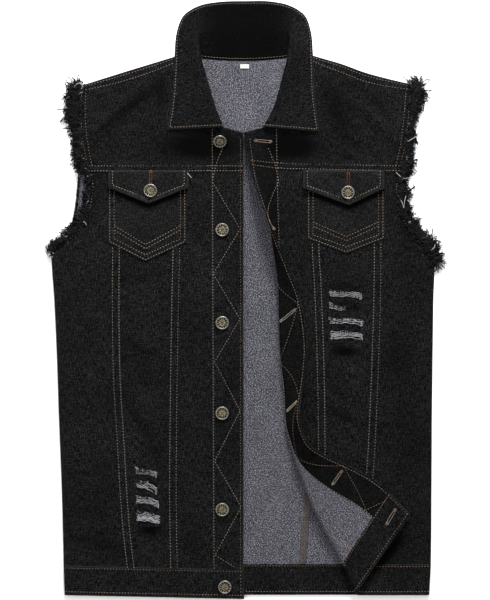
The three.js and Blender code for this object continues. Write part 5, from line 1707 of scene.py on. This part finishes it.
def spoke_tree():
    """A ring of raised, flattened beads that point at the centre, joined to the cap."""
    tree, given = new_tree("button_face", {
        "Count": ("NodeSocketInt", 12), "Ring": ("NodeSocketFloat", 0.006),
        "Height": ("NodeSocketFloat", 0.003), "Long": ("NodeSocketFloat", 0.0012),
        "Wide": ("NodeSocketFloat", 0.0006), "Metal": ("NodeSocketMaterial", None)})
    ring = add_node(tree, "GeometryNodeMeshCircle", {"Vertices": given["Count"], "Radius": given["Ring"]})
    bead = add_node(tree, "GeometryNodeMeshUVSphere", {"Segments": 8, "Rings": 4, "Radius": 1.0})
    size = add_node(tree, "ShaderNodeCombineXYZ", {
        "X": given["Long"], "Y": given["Wide"], "Z": given["Wide"]})
    bar = add_node(tree, "GeometryNodeTransform", {"Geometry": bead.outputs[0], "Scale": size.outputs[0]})
    towards = add_node(tree, "FunctionNodeAlignRotationToVector", {
        "Vector": add_node(tree, "GeometryNodeInputPosition").outputs[0]}, axis="X")
    placed = add_node(tree, "GeometryNodeInstanceOnPoints", {
        "Points": ring.outputs[0], "Instance": bar.outputs[0], "Rotation": towards.outputs[0]})
    raised = add_node(tree, "GeometryNodeTransform", {
        "Geometry": placed.outputs[0], "Translation": along_axis(tree, "Z", given["Height"])})
    joined = add_node(tree, "GeometryNodeJoinGeometry")
    tree.links.new(made_real(tree, raised.outputs[0], given["Metal"]), joined.inputs[0])
    tree.links.new(given["Geometry"], joined.inputs[0])
    add_node(tree, "NodeGroupOutput", {0: joined.outputs[0]})
    return tree


# Share of the radius, height in millimetres and material of each ring of a button's face
BUTTON_PROFILE = [
    (0.02, 0, 0), (0.6, 0, 0), (0.93, 1.2, 0), (1.0, 2.0, 0), (0.985, 2.7, 0), (0.94, 3.1, 0),
    (0.87, 3.15, 0), (0.82, 2.8, 1), (0.79, 2.3, 1), (0.6, 2.2, 1), (0.56, 2.4, 1), (0.52, 2.75, 0),
    (0.48, 2.75, 2), (0.45, 2.5, 2), (0.3, 2.6, 2), (0.16, 2.95, 2), (0.02, 3.1, 2)]


def make_buttons():
    settings = bpy.context.scene.vest_buttons
    radius = settings.diameter / MM / 2
    bright = metal("worn_nickel_rim", settings.bright, 0.32)
    dark = metal("blackened_recess", settings.dark, 0.6)
    brass = metal("antique_brass_center", settings.brass, 0.4)
    spots = []
    for number, (x, y, lean) in enumerate(PLACKET_BUTTONS, 1):
        seat = SEAT_ON_PLACKET + radius * 0.6 * math.sin(math.radians(lean))
        spots.append((f"placket_button_{number}", x, y, lean, front_height("right", x, y) + seat))
    for side, (x, y) in FLAP_BUTTONS.items():
        spots.append((f"flap_button_{side}", x, y, 0, front_height(side, x, y) + SEAT_ON_FLAP))
    # Rings of beads: how many, ring as a share of the radius, height, length and width as shares, metal
    rings = [
        (settings.spokes, 0.7, 2.45, 0.13, 0.075, bright), (8, 0.34, 2.75, 0.13, 0.07, bright),
        (6, 0.13, 3.05, 0.09, 0.055, brass)]
    for index, (node, x, y, lean, z) in enumerate(spots):
        points, quads = lathe([(share * radius, up) for share, up, _ in BUTTON_PROFILE])
        slots = np.repeat([slot for _, _, slot in BUTTON_PROFILE[:-1]], LATHE_SIDES)
        name = node.replace("button", "button_cap")
        piece = make_mesh(name, points, quads, slots=slots, materials=[bright, dark, brass])
        for count, ring, height, long, wide, finish in rings:
            apply_tree(piece, tree_of(spoke_tree), {
                "Count": count, "Ring": ring * radius * MM, "Height": height * MM,
                "Long": long * radius * MM, "Wide": wide * radius * MM, "Metal": finish})
        spin = Matrix.Rotation(0.37 * index, 4, "Z")
        tilt = Matrix.Rotation(math.radians(lean), 4, "X")
        piece.data.transform(Matrix.Translation(Vector((x, y, float(z))) * MM) @ tilt @ spin)
        hand_over(piece, "old_brass", node)


# Neck label: from and to across, from and to up
LABEL = (-6.5, 5.5, 305.2, 310.8)


def make_label():
    """Small blank woven tape sewn under the back neck seam."""
    material, tree, shader = new_material("white_woven_tape", linear("#e8e8e4"))
    ribs = add_node(tree, "ShaderNodeTexWave", {
        "Vector": cloth_millimetres(tree), "Scale": 0.5}, bands_direction="X").outputs["Fac"]
    base = blend_colours(tree, remap(tree, ribs, 0, 1, 0, 0.25), linear("#b0b4b3"), linear("#898c90"))
    fill_inputs(tree, shader, {"Base Color": base, "Roughness": 0.7})
    left, right, foot, top = LABEL
    x, y = np.meshgrid(np.linspace(left, right, 15), np.linspace(foot, top, 8))
    flat = np.stack([x, y], -1)
    sag = 0.35 * np.sin((x - left) / (right - left) * math.pi)
    low = np.stack([x, y, 1.5 + sag], -1)
    high = np.stack([x, y, 2.1 + sag], -1)
    piece = cloth_wall("neck_label_tape", flat, low, high, [material])
    hand_over(piece, "white_tape", "neck_label")


# Stage: lights with their place and diameter in metres and power in watts
LIGHTS = [
    ("key_light", (0.25, 2.3, 1.25), 0.7, 146),
    ("fill_light", (-1.6, 0.2, 2.0), 1.6, 16),
]
SENSOR_HEIGHT = 24
FLOOR_REACH = 4000


def make_stage():
    settings = bpy.context.scene.vest_stage
    material, tree, shader = new_material("matt_white_floor", settings.floor)
    fill_inputs(tree, shader, {"Base Color": settings.floor, "Roughness": 0.9})
    corners = FLOOR_REACH * np.array([(-1, -1, 0), (1, -1, 0), (1, 1, 0), (-1, 1, 0)], float)
    floor = make_mesh("floor", corners, np.array([[0, 1, 2, 3]]), materials=[material])
    camera_data = bpy.data.cameras.new("camera")
    camera_data.sensor_fit = "VERTICAL"
    camera_data.sensor_height = SENSOR_HEIGHT
    camera_data.lens = SENSOR_HEIGHT * settings.camera_height / settings.frame_height
    camera_data.clip_end = 50
    camera = add_object("camera", camera_data)
    camera.location = (0, 0, settings.camera_height)
    bpy.context.scene.camera = camera
    for name, place_at, size_m, power in LIGHTS:
        data = bpy.data.lights.new(name, "AREA")
        data.shape = "DISK"
        data.size = size_m
        data.energy = power
        light = add_object(name, data)
        light.location = place_at
        light.rotation_euler = (-light.location).to_track_quat("-Z", "Y").to_euler()
    world = bpy.data.worlds.new("soft_room")
    world.use_nodes = True
    background = world.node_tree.nodes["Background"]
    background.inputs["Color"].default_value = (1, 1, 1, 1)
    background.inputs["Strength"].default_value = 0.81
    bpy.context.scene.world = world
    bpy.context.scene.view_settings.view_transform = "Standard"


class VestPiece:
    """What every operator of this file shares"""
    bl_options = {"REGISTER", "UNDO"}


class VEST_OT_stage(VestPiece, Operator):
    """Add the floor, the lights and the camera straight above"""
    bl_idname = "vest.stage"
    bl_label = "Stage"

    def execute(self, context):
        make_stage()
        return {"FINISHED"}


class VEST_OT_back(VestPiece, Operator):
    """Build the back, its inside up"""
    bl_idname = "vest.back"
    bl_label = "Back"

    def execute(self, context):
        make_back()
        return {"FINISHED"}


class VEST_OT_fronts(VestPiece, Operator):
    """Build both fronts, the left one's edge turned back"""
    bl_idname = "vest.fronts"
    bl_label = "Fronts"

    def execute(self, context):
        make_front("right")
        make_front("left")
        return {"FINISHED"}


class VEST_OT_collar(VestPiece, Operator):
    """Build the collar"""
    bl_idname = "vest.collar"
    bl_label = "Collar"

    def execute(self, context):
        make_collar()
        return {"FINISHED"}


class VEST_OT_pockets(VestPiece, Operator):
    """Build the chest pockets and their flaps"""
    bl_idname = "vest.pockets"
    bl_label = "Pockets and flaps"

    def execute(self, context):
        make_pockets()
        return {"FINISHED"}


class VEST_OT_sewing(VestPiece, Operator):
    """Sew the topstitching"""
    bl_idname = "vest.sewing"
    bl_label = "Topstitching"

    def execute(self, context):
        make_sewing()
        return {"FINISHED"}


class VEST_OT_buttonholes(VestPiece, Operator):
    """Sew the buttonholes and overlocked seams"""
    bl_idname = "vest.buttonholes"
    bl_label = "Buttonholes"

    def execute(self, context):
        make_buttonholes()
        return {"FINISHED"}


class VEST_OT_fraying(VestPiece, Operator):
    """Fray the armholes and the rips"""
    bl_idname = "vest.fraying"
    bl_label = "Fraying"

    def execute(self, context):
        make_fringe()
        make_rip_threads()
        make_loose_threads()
        return {"FINISHED"}


class VEST_OT_buttons(VestPiece, Operator):
    """Fasten the buttons"""
    bl_idname = "vest.buttons"
    bl_label = "Buttons"

    def execute(self, context):
        make_buttons()
        return {"FINISHED"}


class VEST_OT_label(VestPiece, Operator):
    """Sew in the blank neck label"""
    bl_idname = "vest.label"
    bl_label = "Neck label"

    def execute(self, context):
        make_label()
        return {"FINISHED"}


class VEST_PT_sidebar(Panel):
    """Lists the vest's pieces"""
    bl_idname = "VEST_PT_sidebar"
    bl_label = "Denim vest"
    bl_space_type = "VIEW_3D"
    bl_region_type = "UI"
    bl_category = "Vest"

    def draw(self, context):
        for operator in OPERATORS:
            self.layout.operator(operator.bl_idname)


OPERATORS = (
    VEST_OT_stage, VEST_OT_back, VEST_OT_fronts, VEST_OT_collar, VEST_OT_pockets, VEST_OT_sewing,
    VEST_OT_buttonholes, VEST_OT_fraying, VEST_OT_buttons, VEST_OT_label)
SETTINGS = {
    "vest_cloth": VestClothSettings,
    "vest_sewing": VestSewingSettings,
    "vest_fray": VestFraySettings,
    "vest_buttons": VestButtonSettings,
    "vest_stage": VestStageSettings,
}


def register():
    for name, group in SETTINGS.items():
        bpy.utils.register_class(group)
        setattr(bpy.types.Scene, name, PointerProperty(type=group))
    for operator in OPERATORS:
        bpy.utils.register_class(operator)
    bpy.utils.register_class(VEST_PT_sidebar)


def unregister():
    bpy.utils.unregister_class(VEST_PT_sidebar)
    for operator in reversed(OPERATORS):
        bpy.utils.unregister_class(operator)
    for name, group in reversed(SETTINGS.items()):
        delattr(bpy.types.Scene, name)
        bpy.utils.unregister_class(group)


def main():
    register()
    for operator in OPERATORS:
        group, name = operator.bl_idname.split(".")
        getattr(getattr(bpy.ops, group), name)()


if __name__ == "__main__":
    main()
